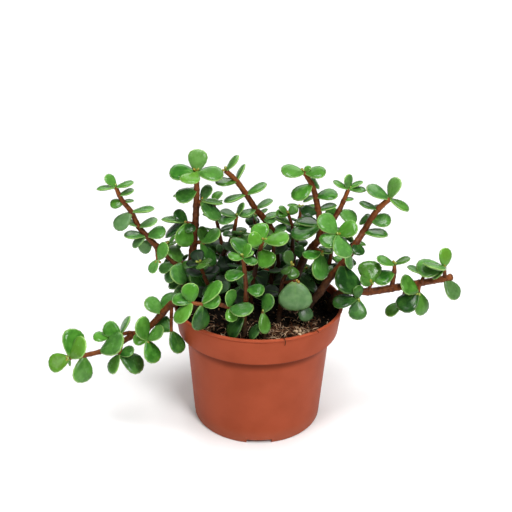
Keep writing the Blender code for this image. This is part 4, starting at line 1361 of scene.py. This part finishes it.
# %% Tones
# Each stem's brightness and bloom, and below them those of the stems that fill the bush. The brightness is
# partly painted light and shade: stems in more light are painted brighter.
STEM_TONES = {
    "stem_left_trailer": (0.6, 0.05),
    "stem_left_upper": (0.8, 0.25),
    "stem_left_upright": (0.5, 0.05),
    "stem_thin_left": (0.65, 0.25),
    "stem_leaning_centre": (0.6, 0.2),
    "stem_front": (0.85, 0.0),
    "shoot_front_small": (0.5, 0.0),
    "stem_front_rosette": (0.85, 0.0),
    "stem_small_centre": (0.6, 0.05),
    "stem_forked_right": (0.55, 0.05),
    "stem_right_upper": (0.45, 0.05),
    "stem_right_trailer": (0.25, 0.0),
    "stem_grey_front": (0.3, 0.1),
}
GROWN_TONE = (0.25, 0.0)
# How bright, how young and how matt some leaves are that stand out, each by its stem and clock direction.
# Their brightness is partly painted light and shade, and below nought it is painted deep shade.
LEAF_TONES = {
    "stem_left_trailer": {
        201: (0.45, 0.35, 0.0), 47: (0.65, 0.35, 0.0), 81: (0.75, 0.05, 0.0), 271: (0.85, 0.1, 0.15),
        73: (0.85, 0.0, 0.4), 137: (0.95, 0.1, 0.25), 147: (0.6, 0.0, 0.15), 329: (0.25, 0.0, 0.1),
        298: (0.35, 0.0, 0.05), 20: (0.5, 0.0, 0.05), 295: (0.6, 0.0, 0.0), 176: (0.85, 0.15, 0.0),
    },
    "stem_left_upper": {
        190: (0.3, 0.1, 0.0), 150: (0.6, 0.0, 0.4), 24: (0.9, 0.1, 0.45), 226: (0.9, 0.0, 0.7),
        215: (0.8, 0.0, 0.55),
    },
    "stem_left_upright": {
        84: (1.0, 0.3, 0.35), 236: (0.75, 0.35, 0.0), 179: (0.6, 0.0, 0.0), 207: (0.75, 0.0, 0.1),
        65: (0.9, 0.0, 0.4), 316: (0.35, 0.0, 0.1), 302: (0.1, 0.0, 0.0), 206: (-0.1, 0.0, 0.0),
        39: (0.8, 0.05, 0.1), 256: (0.75, 0.0, 0.2), 301: (0.25, 0.0, 0.0), 132: (0.1, 0.0, 0.0),
    },
    "stem_front": {
        97: (0.9, 0.1, 0.0), 232: (0.9, 0.25, 0.05), 267: (0.2, 0.0, 0.05), 162: (0.6, 0.0, 0.0),
        103: (0.4, 0.0, 0.0), 170: (-0.6, 0.0, 0.0), 5: (0.65, 0.0, 0.2), 287: (0.95, 0.25, 0.0),
        230: (0.1, 0.0, 0.0), 340: (0.5, 0.0, 0.0), 171: (0.6, 0.1, 0.0), 354: (0.5, 0.0, 0.0),
    },
    "stem_front_rosette": {
        9: (0.75, 0.2, 0.0), 174: (1.0, 0.25, 0.0), 304: (1.0, 0.15, 0.0), 340: (-0.8, 0.0, 0.0),
    },
    "stem_small_centre": {
        172: (0.9, 0.1, 0.2),
    },
    "stem_forked_right": {
        213: (0.55, 0.05, 0.0), 290: (0.95, 0.05, 0.25), 132: (1.0, 0.1, 0.2), 340: (0.9, 0.1, 0.25),
        92: (0.75, 0.1, 0.3), 164: (0.5, 0.0, 0.0), 178: (-0.1, 0.0, 0.0), 0: (0.4, 0.05, 0.0),
        196: (0.2, 0.0, 0.0), 270: (0.75, 0.0, 0.1), 190: (0.75, 0.0, 0.05), 195: (0.75, 0.0, 0.0),
    },
    "stem_right_upper": {
        279: (0.1, 0.0, 0.0), 75: (1.0, 0.3, 0.35), 245: (0.85, 0.0, 0.4), 150: (0.6, 0.0, 0.2),
        158: (0.25, 0.0, 0.1), 80: (0.9, 0.0, 0.1),
    },
    "stem_right_trailer": {
        89: (0.5, 0.4, 0.0), 305: (0.35, 0.1, 0.35), 80: (0.15, 0.05, 0.0), 205: (0.1, 0.0, 0.0),
        269: (0.25, 0.0, 0.15), 180: (0.8, 0.1, 0.2), 140: (0.6, 0.0, 0.4), 158: (0.7, 0.1, 0.1),
        202: (0.45, 0.0, 0.0), 178: (0.8, 0.1, 0.3), 189: (0.05, 0.0, 0.0),
    },
    "stem_grey_front": {
        272: (0.4, 0.0, 0.7), 167: (-1.0, 0.0, 0.0), 294: (0.0, 0.0, 0.3), 290: (0.1, 0.1, 0.0),
    },
    "stem_leaning_centre": {
        184: (0.3, 0.1, 0.0), 34: (0.9, 0.0, 0.5), 20: (0.9, 0.0, 0.3),
    },
    "stem_thin_left": {
        280: (-0.3, 0.0, 0.0), 195: (0.95, 0.0, 0.3), 156: (0.9, 0.0, 0.5),
    },
    "shoot_front_small": {
        68: (0.2, 0.0, 0.0),
    },
    "stem_middle_left": {
        178: (-0.7, 0.0, 0.0), 168: (-0.6, 0.0, 0.0), 37: (-0.8, 0.0, 0.0), 108: (-0.5, 0.0, 0.0),
    },
}
# How far the painted shade deep in the bush reaches, and how much darker it makes a leaf.
INNER_CORE = 15 * MM
INNER_REACH = 65 * MM
INNER_TOP = 150 * MM
INNER_FADE = 25 * MM
INNER_PAINTED_SHADE = 1.1
YOUNG_IS_BRIGHTER = 0.25
YOUNG_AT_THE_END = 0.1
YOUNG_FADES = 0.5
UNEVEN_BRIGHT = 0.15
UNEVEN_YOUNG = 0.02
UNEVEN_BLOOM = 0.1


def tone_of(leaf, draw):
    """How bright, young and matt a leaf is. The last number says that it is no bud."""
    change = [draw.uniform(-1, 1) for number in range(3)]
    given = LEAF_TONES.get(leaf.stem, {}).get(leaf.clock)
    if given:
        return (*given, 0.0)
    base, bloom = STEM_TONES.get(leaf.stem, GROWN_TONE)
    at = leaf.place.translation
    near = max(0, 1 - math.hypot(at.x, at.y) / INNER_REACH)
    low = max(0, min(1, (INNER_TOP - at.z) / INNER_FADE))
    # Painted shade: a leaf low and near the pot's axis is darkened.
    bright = base + YOUNG_IS_BRIGHTER * (0.5 - leaf.age) - INNER_PAINTED_SHADE * (near * low)
    bright += UNEVEN_BRIGHT * change[0]
    young = max(0.0, YOUNG_AT_THE_END - YOUNG_FADES * leaf.age) + UNEVEN_YOUNG * (1 + change[1])
    return (min(1, max(-1, bright)), young, max(0.0, bloom + UNEVEN_BLOOM * change[2]), 0.0)


print("leaves with a tone of their own:", sum(len(tones) for tones in LEAF_TONES.values()))

# %% The smallest leaves
OPENING_MM = (2.2, 3.4)
OPENING_BREADTH = 0.7
OPENING_RISE = (48, 66)
OPENING_START = 0.6 * MM
OPENING_BRIGHT = 0.8
OPENING_YOUNG = (0.5, 0.8)
OPENING_BROWN = (0.3, 0.8)


def opening_leaves(stem, draw):
    """A pair of small leaves at each shoot's end that bears leaves, still half closed."""
    pair = []
    for one in STEMS[stem]:
        if not one.joints[-1].leaves:
            continue
        end, before = one.joints[-1].place, one.joints[-2].place
        upward = (end - before).normalized()
        turn = draw.uniform(0, math.pi)
        for side in (0, math.pi):
            outward = Matrix.Rotation(turn + side, 3, upward) @ upward.orthogonal().normalized()
            rise = math.radians(draw.uniform(*OPENING_RISE))
            along = math.cos(rise) * outward + math.sin(rise) * upward
            face = math.cos(rise) * upward - math.sin(rise) * outward
            axes = Matrix((along, face.cross(along), face)).transposed()
            spread = Matrix.Translation(end + OPENING_START * upward) @ axes.to_4x4()
            pair.append(Leaf(stem, draw.uniform(*OPENING_MM) * MM, OPENING_BREADTH, spread, 0, 0))
    return pair


# %% All the leaves
LEAF_SEED = 31


def leaves_piece(stem, leaves):
    """All the leaves of one stem and the smallest ones at the shoots' ends, kept inside the frame's box."""
    shape = bmesh.new()
    shape.verts.layers.float_vector.new("blade")
    shape.verts.layers.float_color.new("tone")
    draw = random.Random(f"{LEAF_SEED} {stem}")
    for leaf in leaves:
        add_blade(shape, leaf, draw, tone_of(leaf, draw))
    for leaf in opening_leaves(stem, draw):
        tone = (OPENING_BRIGHT, draw.uniform(*OPENING_YOUNG), 0.0, draw.uniform(*OPENING_BROWN))
        add_blade(shape, leaf, draw, tone)
    for v in shape.verts:
        v.co = Vector([min(max(v.co[i], cad_box[0][i]), cad_box[1][i]) for i in range(3)])
    return new_piece(f"{stem}_leaves", shape, LEAF_FINISH, stem)


leaf_pieces = [leaves_piece(stem, leaves) for stem, leaves in leaves_of.items()]
print("leaf pieces:", len(leaf_pieces), "with", faces_in(leaf_pieces), "faces")

# %% [markdown]
# ## The stems' bark
#
# A young stem is smooth, round and red-brown. Every pair of leaves leaves a ring behind when it drops, so
# the stem looks jointed, like a thin bamboo, and its oldest part near the soil is grey-brown and rough. A
# bevelled curve would give a plain tube. Here a ring is drawn and extruded step by step along a smooth line
# through the joints: each step moves, turns and scales the new ring, so the swellings are part of the tube.
# The attribute "bark" keeps the place round and along the stem and how young it is there, and "joint" keeps
# how near a joint or scar is.

# %% A line through the joints
BARK_STEP = 1.3 * MM
BARK_SIDES = 12
SWELLING = 0.17
SWELLING_WIDTH = 0.9 * MM
SCAR_GAPS = (5 * MM, 9 * MM)
SCAR_SWELLING = 0.6
SCAR_WIDTH = 0.7 * SWELLING_WIDTH
# How a shoot is rounded off: how far beyond its end, and the share of its radius there.
SHOOT_END = ((0.5 * MM, 0.72), (0.8 * MM, 0.3))
SOIL_TOP = 86 * MM
ROOT_DEPTH = 13 * MM


def curved_line(points):
    """Places on a smooth line through the points, each with the number of points passed and its share."""
    ends = [2 * points[0] - points[1]] + points + [2 * points[-1] - points[-2]]
    line = []
    for number in range(1, len(ends) - 2):
        before, start, end, after = ends[number - 1:number + 3]
        steps = max(2, round((end - start).length / BARK_STEP))
        for step in range(steps):
            t = step / steps
            bend = 0.5 * (
                2 * start
                + (end - before) * t
                + (2 * before - 5 * start + 4 * end - after) * t ** 2
                + (3 * start - before - 3 * end + after) * t ** 3
            )
            line.append((bend, number - 1 + t))
    line.append((points[-1], float(len(points) - 1)))
    return line


def stem_rings(one, rooted, draw):
    """The rings of a shoot: place, radius, metres along it, share along it, and how near a joint."""
    points = [bud.place for bud in one.joints]
    if rooted:
        points.insert(0, Vector((points[0].x, points[0].y, SOIL_TOP - ROOT_DEPTH)))
    line = curved_line(points)
    count = len(one.joints) - 1
    joints_at = [place for place, at in line if at.is_integer()][int(rooted):]
    rings = []
    travelled = 0.0
    next_scar = draw.uniform(*SCAR_GAPS)
    scars = []
    for number, (place, at) in enumerate(line):
        if number:
            travelled += (place - line[number - 1][0]).length
        if travelled > next_scar:
            scars.append(place)
            next_scar += draw.uniform(*SCAR_GAPS)
        rings.append((place, max(0.0, at - rooted) / count, travelled))
    made = []
    for place, share, far in rings:
        radius = one.foot_radius + share * (one.tip_radius - one.foot_radius)
        swell = sum(math.exp(-((place - at).length / SWELLING_WIDTH) ** 2) for at in joints_at[1:])
        swell += SCAR_SWELLING * sum(math.exp(-((place - at).length / SCAR_WIDTH) ** 2) for at in scars)
        made.append((place, radius * (1 + SWELLING * min(1, swell)), far, share, min(1, swell)))
    end = (line[-1][0] - line[-2][0]).normalized()
    place, radius, far, share, swell = made[-1]
    for beyond, part in SHOOT_END:
        made.append((place + beyond * end, part * radius, far, share, swell))
    return made


# %% Extruding the tube ring by ring
def turned_frames(places):
    """For each place on a line, a matrix whose Z follows the line with the least twist."""
    frames = []
    side = None
    for number, place in enumerate(places):
        ahead = places[min(number + 1, len(places) - 1)] - places[max(number - 1, 0)]
        ahead.normalize()
        side = (side - ahead * side.dot(ahead)).normalized() if side else ahead.orthogonal().normalized()
        axes = Matrix((side, ahead.cross(side), ahead)).transposed()
        frames.append(Matrix.Translation(place) @ axes.to_4x4())
    return frames


def extruded_tube(shape, rings, sides, set_marks):
    """Adds a closed tube to a bmesh. A ring is a place, a radius and what set_marks writes at it."""
    frames = turned_frames([ring[0] for ring in rings])
    sizes = [Matrix.Diagonal((ring[1], ring[1], ring[1], 1)) for ring in rings]
    ring_verts = bmesh.ops.create_circle(
        shape, segments=sides, radius=1, matrix=frames[0] @ sizes[0]
    )["verts"]
    rim = list({edge for v in ring_verts for edge in v.link_edges})
    first_rim = rim
    for number, v in enumerate(ring_verts):
        set_marks(v, rings[0], number / sides)
    for number in range(1, len(rings)):
        drawn = bmesh.ops.extrude_edge_only(shape, edges=rim)["geom"]
        ring_verts = [part for part in drawn if isinstance(part, bmesh.types.BMVert)]
        rim = [part for part in drawn if isinstance(part, bmesh.types.BMEdge)]
        move = frames[number] @ sizes[number] @ (frames[number - 1] @ sizes[number - 1]).inverted()
        bmesh.ops.transform(shape, matrix=move, verts=ring_verts)
        for v in ring_verts:
            set_marks(v, rings[number], None)
    bmesh.ops.edgeloop_fill(shape, edges=first_rim)
    bmesh.ops.edgeloop_fill(shape, edges=rim)


# %% [markdown]
# ## The bark's finish
#
# The stem's skin is a thin polished red-brown on green flesh. It is redder and lighter towards the tip,
# browner in the middle, and grey-brown and rough at the old foot. Fine streaks run along it, and each joint
# has a darker line. Deep inside the bush the stem is painted nearly black, as painted shade. The streaks have
# to follow the stem, so they read the "bark" attribute and not the place in space.

# %% Stem bark
OLD_BARK = ((0.026, 0.015, 0.008), (0.08, 0.046, 0.024))
RED_BARK = ((0.070, 0.018, 0.005), (0.16, 0.046, 0.012))
TENDER_BARK = (0.30, 0.088, 0.022)
JOINT_LINE = (0.035, 0.012, 0.007)
PALE_STREAK = (0.20, 0.085, 0.045)
BARK_IN_SHADE = (0.008, 0.004, 0.002)
STREAK_SCALE = (5.0, 900.0, 0.0)


def inside_the_bush(tree, place):
    """How deep inside the bush a place is: one low by the pot's axis, nothing outside or high up."""
    right, back, height = parts_of(tree, place)
    flat = tree.nodes.new("ShaderNodeCombineXYZ")
    feed(tree, right, flat.inputs[0])
    feed(tree, back, flat.inputs[1])
    near = between(tree, length_of(tree, flat.outputs[0]), INNER_CORE, INNER_REACH, 1.0, 0.0)
    return worked(tree, "MULTIPLY", near, between(tree, height, INNER_TOP - INNER_FADE, INNER_TOP, 1.0, 0.0))


def stem_bark():
    """The stem's finish. Attribute bark: round, along in metres, and how young; joint: how near a joint."""
    made, tree, shader = new_finish("stem_bark", 0.12)
    bark = mark(tree, "bark", "Vector")
    young = parts_of(tree, bark)[2]
    place = own_place(tree)
    woody = between(tree, young, 0.0, 0.3, 1.0, 0.0)
    skin = blended(tree, woody, tinted(tree, place, RED_BARK, 420.0), tinted(tree, place, OLD_BARK, 700.0))
    skin = blended(tree, between(tree, young, 0.7, 1.0, 0.0, 0.6), skin, TENDER_BARK)
    skin = blended(tree, between(tree, mark(tree, "joint"), 0.75, 1.0, 0.0, 0.55), skin, JOINT_LINE)
    stretched = tree.nodes.new("ShaderNodeVectorMath")
    stretched.operation = "MULTIPLY"
    stretched.inputs[1].default_value = STREAK_SCALE
    feed(tree, bark, stretched.inputs[0])
    streak = noise_node(tree, stretched.outputs[0], 1.0, 4, 0.65)
    skin = blended(tree, between(tree, streak, 0.55, 0.8, 0.0, 0.35), skin, PALE_STREAK)
    # Painted shade: deep inside the bush the bark is darkened towards nearly black.
    skin = blended(tree, worked(tree, "MULTIPLY", inside_the_bush(tree, place), 0.85), skin, BARK_IN_SHADE)
    feed(tree, skin, shader.inputs["Base Color"])
    feed(tree, between(tree, woody, 0.0, 1.0, 0.38, 0.8), shader.inputs["Roughness"])
    bumped(tree, shader, streak, 0.2 * MM)
    return made


BARK_FINISH = stem_bark()
print("bark finish:", BARK_FINISH.name)

# %% All the stems
SIDE_SHOOT_YOUNG = 0.3


def bark_piece(stem, shoots):
    """The bare stem with its side shoots, one closed tube for each."""
    shape = bmesh.new()
    bark = shape.verts.layers.float_vector.new("bark")
    near = shape.verts.layers.float.new("joint")
    draw = random.Random(f"{LEAF_SEED} bark {stem}")

    def set_marks(v, ring, turn):
        far, share, swell = ring[2:]
        round_at = turn if turn is not None else v[bark][0]
        young = SIDE_SHOOT_YOUNG + (1 - SIDE_SHOOT_YOUNG) * share if side_shoot else share
        v[bark] = (round_at, far, young)
        v[near] = swell

    for number, one in enumerate(shoots):
        side_shoot = number > 0
        extruded_tube(shape, stem_rings(one, not side_shoot, draw), BARK_SIDES, set_marks)
    return new_piece(f"{stem}_bark", shape, BARK_FINISH, stem)


bark_pieces = [bark_piece(stem, shoots) for stem, shoots in STEMS.items()]
print("bark pieces:", len(bark_pieces), "with", faces_in(bark_pieces), "faces")

# %% [markdown]
# ## The soil
#
# The pot is filled almost to its rim with dark peat: lumps and crumbs from dust up to a few millimetres, with
# pale fibres and bits of straw on it. A flat disc with a bump would look like paint from the side, so the
# surface is a real one. A cross-section is spun into a closed body with many rings. Its top is a low dome
# with a mound at the front, raised and dented by slow waves and by noise of three sizes. Then crumbs, small
# jittered solids of twenty faces, are strewn over it with a seeded draw.

# %% The soil's body
SOIL_EDGE = 84 * MM
SOIL_RISE = 2 * MM
SOIL_STEPS = 150
SOIL_TOP_RINGS = 46
SOIL_GAP = 0.25 * MM
MOUND_PLACE = (22 * MM, -44 * MM)
MOUND_HEIGHT = 3 * MM
MOUND_WIDTH = 11 * MM
WAVE_HEIGHT = 0.4 * MM
LUMP_HEIGHT = 0.9 * MM
# The noise of the soil's lumps: the share of each size in their height, and how close they lie.
LUMPS = ((1.1, 170), (0.7, 420), (0.4, 1000))
LEDGE = band_foot + WALL


def inner_radius(height):
    """The radius of the pot's inner wall at a height above the ledge."""
    share = (height - band_foot) / BAND_HEIGHT
    return BAND_FOOT_RADIUS + (band_top_radius - BAND_FOOT_RADIUS) * share - WALL - SOIL_GAP


def soil_height(x, y):
    """The height of the soil's surface: a low dome and a mound, with slow waves and lumps of three sizes."""
    share = min(1.0, math.hypot(x, y) / RIM_RADIUS)
    broad = math.sin(x / (5 * MM)) * math.cos(y / (6.5 * MM)) + 0.6 * math.sin((x + 1.7 * y) / (3.7 * MM))
    place = Vector((x, y, 0))
    lumps = sum(share_of_size * noise.noise(place * scale) for share_of_size, scale in LUMPS)
    mound = MOUND_HEIGHT * math.exp(-(math.dist((x, y), MOUND_PLACE) / MOUND_WIDTH) ** 2)
    return SOIL_EDGE + SOIL_RISE * (1 - share ** 2) + mound + WAVE_HEIGHT * broad + LUMP_HEIGHT * lumps


soil_radius = inner_radius(SOIL_EDGE)
soil_side = [
    (inner_radius(LEDGE + SOIL_GAP), LEDGE + SOIL_GAP),
    (wall_radius(LEDGE) - WALL - SOIL_GAP, LEDGE + SOIL_GAP),
    (wall_radius(floor_top) - WALL - SOIL_GAP, floor_top + SOIL_GAP),
    (0, floor_top + SOIL_GAP),
]
soil_top = [(soil_radius * number / SOIL_TOP_RINGS, SOIL_EDGE) for number in range(SOIL_TOP_RINGS + 1)]
soil_shape = spun(soil_top + soil_side, SOIL_STEPS)
for v in soil_shape.verts:
    if v.co.z > SOIL_EDGE - 0.1 * MM:
        v.co.z = soil_height(v.co.x, v.co.y)
print("faces in the soil:", len(soil_shape.faces))

# %% [markdown]
# ## The finish of the soil, crumbs and fibres
#
# Moist peat is nearly black-brown, dry crumbs on top are lighter and warmer, and the fibres are straw or dark
# roots. All share one recipe, a cloudy tint and a strong grain, with their own colours. Crumbs, fibres and
# chips also read a "tone" attribute, which draws each towards a third colour, so that neighbours differ.


# %% Peat, crumbs and straw
def earthy(name, colours, scale, by_tone=None):
    """A rough finish between two colours, which the attribute tone may draw towards a third."""
    made, tree, shader = new_finish(name, 0.06)
    place = own_place(tree)
    colour = tinted(tree, place, colours, scale)
    if by_tone:
        colour = blended(tree, mark(tree, "tone"), colour, by_tone)
    feed(tree, colour, shader.inputs["Base Color"])
    grain = placed_group(tree, FINE_GRAIN, place, grain_scale=1800.0, wave_scale=500.0, wave_share=0.4)
    feed(tree, between(tree, grain.outputs["Grain"], 0.3, 0.7, 0.75, 1.0), shader.inputs["Roughness"])
    bumped(tree, shader, grain.outputs["Height"], 0.5 * MM)
    return made


PEAT = earthy("moist_peat", ((0.0012, 0.0010, 0.0006), (0.006, 0.004, 0.0024)), 260.0)
CRUMB = earthy("peat_crumb", ((0.002, 0.0014, 0.001), (0.012, 0.007, 0.004)), 500.0, (0.22, 0.13, 0.075))
STRAW = earthy("straw_fibre", ((0.36, 0.21, 0.11), (0.66, 0.49, 0.33)), 300.0, (0.07, 0.026, 0.012))
CHIP = earthy("bark_chip", ((0.36, 0.25, 0.15), (0.60, 0.46, 0.31)), 600.0, (0.16, 0.08, 0.04))
new_piece("peat_soil", soil_shape, PEAT, "soil")
print("earthy finishes:", ", ".join(finish.name for finish in (PEAT, CRUMB, STRAW, CHIP)))

# %% The crumbs
CRUMB_COUNT = 1500
CRUMB_SEED = 12
CRUMB_MM = (0.35, 1.5)
CRUMB_MARGIN = 1.2 * MM
CRUMB_WIDE = (0.55, 1)
CRUMB_HIGH = (0.45, 0.8)
CRUMB_LIFT = 0.15
CRUMB_UNEVEN = 0.22
# Most crumbs are as dark as the peat: a draw below nought counts as nought, and its fourth power is used.
CRUMB_LIGHT = (-0.7, 1.0)


def spot_on_soil(draw):
    """A random place on the soil's surface, even over its area."""
    radius = (soil_radius - CRUMB_MARGIN) * math.sqrt(draw.random())
    turn = draw.uniform(0, math.tau)
    x, y = radius * math.cos(turn), radius * math.sin(turn)
    return Vector((x, y, soil_height(x, y)))


def crumbs():
    """The crumbs: jittered solids of twenty faces, sunk a little into the soil."""
    shape = bmesh.new()
    tone = shape.verts.layers.float.new("tone")
    draw = random.Random(CRUMB_SEED)
    for number in range(CRUMB_COUNT):
        size = MM * (CRUMB_MM[0] + (CRUMB_MM[1] - CRUMB_MM[0]) * draw.random() ** 2.5)
        spot = spot_on_soil(draw)
        spot.z += CRUMB_LIFT * size
        turn = Matrix.Rotation(draw.uniform(0, math.tau), 4, Vector((draw.gauss(0, 1), draw.gauss(0, 1), 1)))
        wide, high = size * draw.uniform(*CRUMB_WIDE), size * draw.uniform(*CRUMB_HIGH)
        squash = Matrix.Diagonal((size, wide, high, 1))
        place = Matrix.Translation(spot) @ turn @ squash
        ball = bmesh.ops.create_icosphere(shape, subdivisions=1, radius=1, matrix=place)
        light = max(0.0, draw.uniform(*CRUMB_LIGHT)) ** 4
        for v in ball["verts"]:
            v.co += CRUMB_UNEVEN * size * Vector([draw.uniform(-1, 1) for axis in range(3)])
            v[tone] = light
    return shape


crumb_piece = new_piece("soil_crumbs", crumbs(), CRUMB)
crumb_piece.data.shade_flat()
print("crumbs:", CRUMB_COUNT, "with", faces_in([crumb_piece]), "faces")

# %% [markdown]
# ## Fibres, roots and chips
#
# Fibres lie crosswise on the peat, pale ones and dark ones. Most lie at the front, where the bush leaves the
# soil in view, some at the left and at the right, and a few all over. A few fine roots have been washed over
# the rim, and some light chips of bark lie by the front stems. A fibre is the same kind of tube as a stem,
# only thinner and with four sides: its line wanders over the surface and rises from it in a low arc.

# %% The fibres
FIBRE_SEED = 5
# Each: the middle and the spread of a patch of fibres in X and Y, in millimetres, and their number.
FIBRE_PATCHES = ((14, -43, 22, 7, 320), (-26, -40, 14, 9, 100), (33, -27, 9, 11, 80), (0, 0, 40, 40, 70))
FIBRE_MM = (2.5, 11)
FIBRE_RADIUS_MM = (0.1, 0.42)
FIBRE_STEP = 1.4 * MM
FIBRE_TURN = 0.35
FIBRE_LIFT = 1.6 * MM
FIBRE_MARGIN = 2 * MM
FIBRE_STOPS = 0.6 * MM
FIBRE_SIDES = 4
# A draw above one counts as one, so half of the fibres are quite dark.
FIBRE_DARK = (0.0, 2.0)


def fibre_line(start, turn, length, draw):
    """A line that wanders over the soil from a start, in an arc, and stops short of the pot's wall."""
    steps = max(4, round(length / FIBRE_STEP))
    place = Vector(start)
    line = []
    height = draw.uniform(0, FIBRE_LIFT)
    for step in range(steps + 1):
        arc = math.sin(math.pi * step / steps)
        ground = soil_height(place.x, place.y)
        line.append(Vector((place.x, place.y, ground + 0.1 * MM + (height + 0.3 * MM) * arc)))
        turn += draw.uniform(-FIBRE_TURN, FIBRE_TURN)
        place += length / steps * Vector((math.cos(turn), math.sin(turn), 0))
        if place.xy.length > soil_radius - FIBRE_STOPS:
            break
    return line


def fibres():
    """All the fibres as one piece of thin four-sided tubes."""
    shape = bmesh.new()
    tone = shape.verts.layers.float.new("tone")
    draw = random.Random(FIBRE_SEED)

    def set_marks(v, ring, turn):
        v[tone] = ring[2]

    for x, y, wide, deep in [patch[:4] for patch in FIBRE_PATCHES for number in range(patch[4])]:
        start = Vector((draw.gauss(x, wide), draw.gauss(y, deep), 0)) * MM
        if start.length > soil_radius - FIBRE_MARGIN:
            continue
        length = draw.uniform(*FIBRE_MM) * MM
        line = fibre_line(start, draw.uniform(0, math.tau), length, draw)
        if len(line) < 4:
            continue
        radius = draw.uniform(*FIBRE_RADIUS_MM) * MM
        dark = min(1.0, draw.uniform(*FIBRE_DARK))
        rings = [(place, radius * (1 - 0.5 * step / len(line)), dark) for step, place in enumerate(line)]
        extruded_tube(shape, rings, FIBRE_SIDES, set_marks)
    return shape


fibre_piece = new_piece("soil_fibres", fibres(), STRAW)
print("fibres:", faces_in([fibre_piece]), "faces")

# %% The roots over the rim
ROOT_RADIUS = 0.28 * MM
ROOT_SIDES = 6
RIM_ROOTS = (
    ((15, -50, 86.5), (16, -54.6, 89.6), (17, -57.2, 90.8), (17.9, -58.4, 88.6), (17.6, -57, 85.4)),
    ((35.5, -42, 86.2), (37.5, -44.6, 90), (39, -46.1, 90.8), (39.8, -46.6, 89.4)),
    ((31.5, -44.5, 86), (34, -47, 90), (36, -47.5, 90.7), (37.5, -46.5, 90.6)),
)


def rim_roots():
    """The fine dark roots that lie over the pot's rim."""
    shape = bmesh.new()
    tone = shape.verts.layers.float.new("tone")

    def set_marks(v, ring, turn):
        v[tone] = 1.0

    for points in RIM_ROOTS:
        line = curved_line([Vector(point) * MM for point in points])
        extruded_tube(shape, [(place, ROOT_RADIUS) for place, at in line], ROOT_SIDES, set_marks)
    return shape


root_piece = new_piece("rim_roots", rim_roots(), STRAW)
print("roots:", faces_in([root_piece]), "faces")

# %% The chips
# Each chip: its place in X and Y and its length, in millimetres.
CHIPS = (
    (26, -37, 2.6), (28, -40.5, 3.2), (25, -42.5, 3.4), (27.5, -45, 3.6), (24, -46.5, 2.4), (30, -42, 2.2),
)
CHIP_SEED = 8
CHIP_WIDE = (0.45, 0.7)
CHIP_HIGH = 0.4
CHIP_ROUNDING = 0.08
CHIP_UNEVEN = 0.12
CHIP_TILT = (0.2, 0.9)
CHIP_LIFT = 0.25
CHIP_DARK = (0.0, 0.6)


def chip(x, y, draw):
    """A chip one metre long: a block with rounded edges and uneven sides."""
    block = bmesh.new()
    bmesh.ops.create_cube(block, size=1, matrix=Matrix.Diagonal((1, draw.uniform(*CHIP_WIDE), CHIP_HIGH, 1)))
    bmesh.ops.subdivide_edges(block, edges=block.edges[:], cuts=2, use_grid_fill=True)
    sharp = [edge for edge in block.edges if edge.calc_face_angle(0) > 1]
    bmesh.ops.bevel(
        block, geom=sharp, offset=CHIP_ROUNDING, affect="EDGES", segments=2, profile=0.5, material=-1
    )
    for v in block.verts:
        v.co += CHIP_UNEVEN * noise.noise_vector(3 * v.co + Vector((x, y, 0)))
    return block


def chips():
    """The chips of bark, each turned and tilted, half sunk in the soil."""
    shape = bmesh.new()
    tone = shape.verts.layers.float.new("tone")
    draw = random.Random(CHIP_SEED)
    # Without a seed of its own, noise_vector starts from the clock and gives other chips each time.
    noise.seed_set(CHIP_SEED)
    for x, y, size in CHIPS:
        block = chip(x, y, draw)
        turn = Matrix.Rotation(draw.uniform(0, math.tau), 4, "Z")
        tilt = Matrix.Rotation(draw.uniform(*CHIP_TILT), 4, "X")
        at = Vector((x, y, 0)) * MM
        at.z = soil_height(at.x, at.y) + CHIP_LIFT * size * MM
        place = Matrix.Translation(at) @ (turn @ tilt) @ Matrix.Scale(size * MM, 4)
        bmesh.ops.transform(block, matrix=place, verts=block.verts)
        dark = draw.uniform(*CHIP_DARK)
        moved = {v: shape.verts.new(v.co) for v in block.verts}
        for face in block.faces:
            shape.faces.new([moved[v] for v in face.verts])
        for v in moved.values():
            v[tone] = dark
        block.free()
    return shape


chip_piece = new_piece("light_chips", chips(), CHIP)
print("chips:", len(CHIPS), "with", faces_in([chip_piece]), "faces")

# %% [markdown]
# ## The sizes at the end
#
# The size of the dressed plant is printed next to the frame's, axis by axis. The
# dressed plant has to stay inside the box of the frame.

# %% Sizes and the end
dressed_box = [list(corner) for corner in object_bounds()]
for axis, label in enumerate("XYZ"):
    before = cad_box[1][axis] - cad_box[0][axis]
    after = dressed_box[1][axis] - dressed_box[0][axis]
    print(f"{label}: frame {before / MM:.1f} mm, dressed {after / MM:.1f} mm")
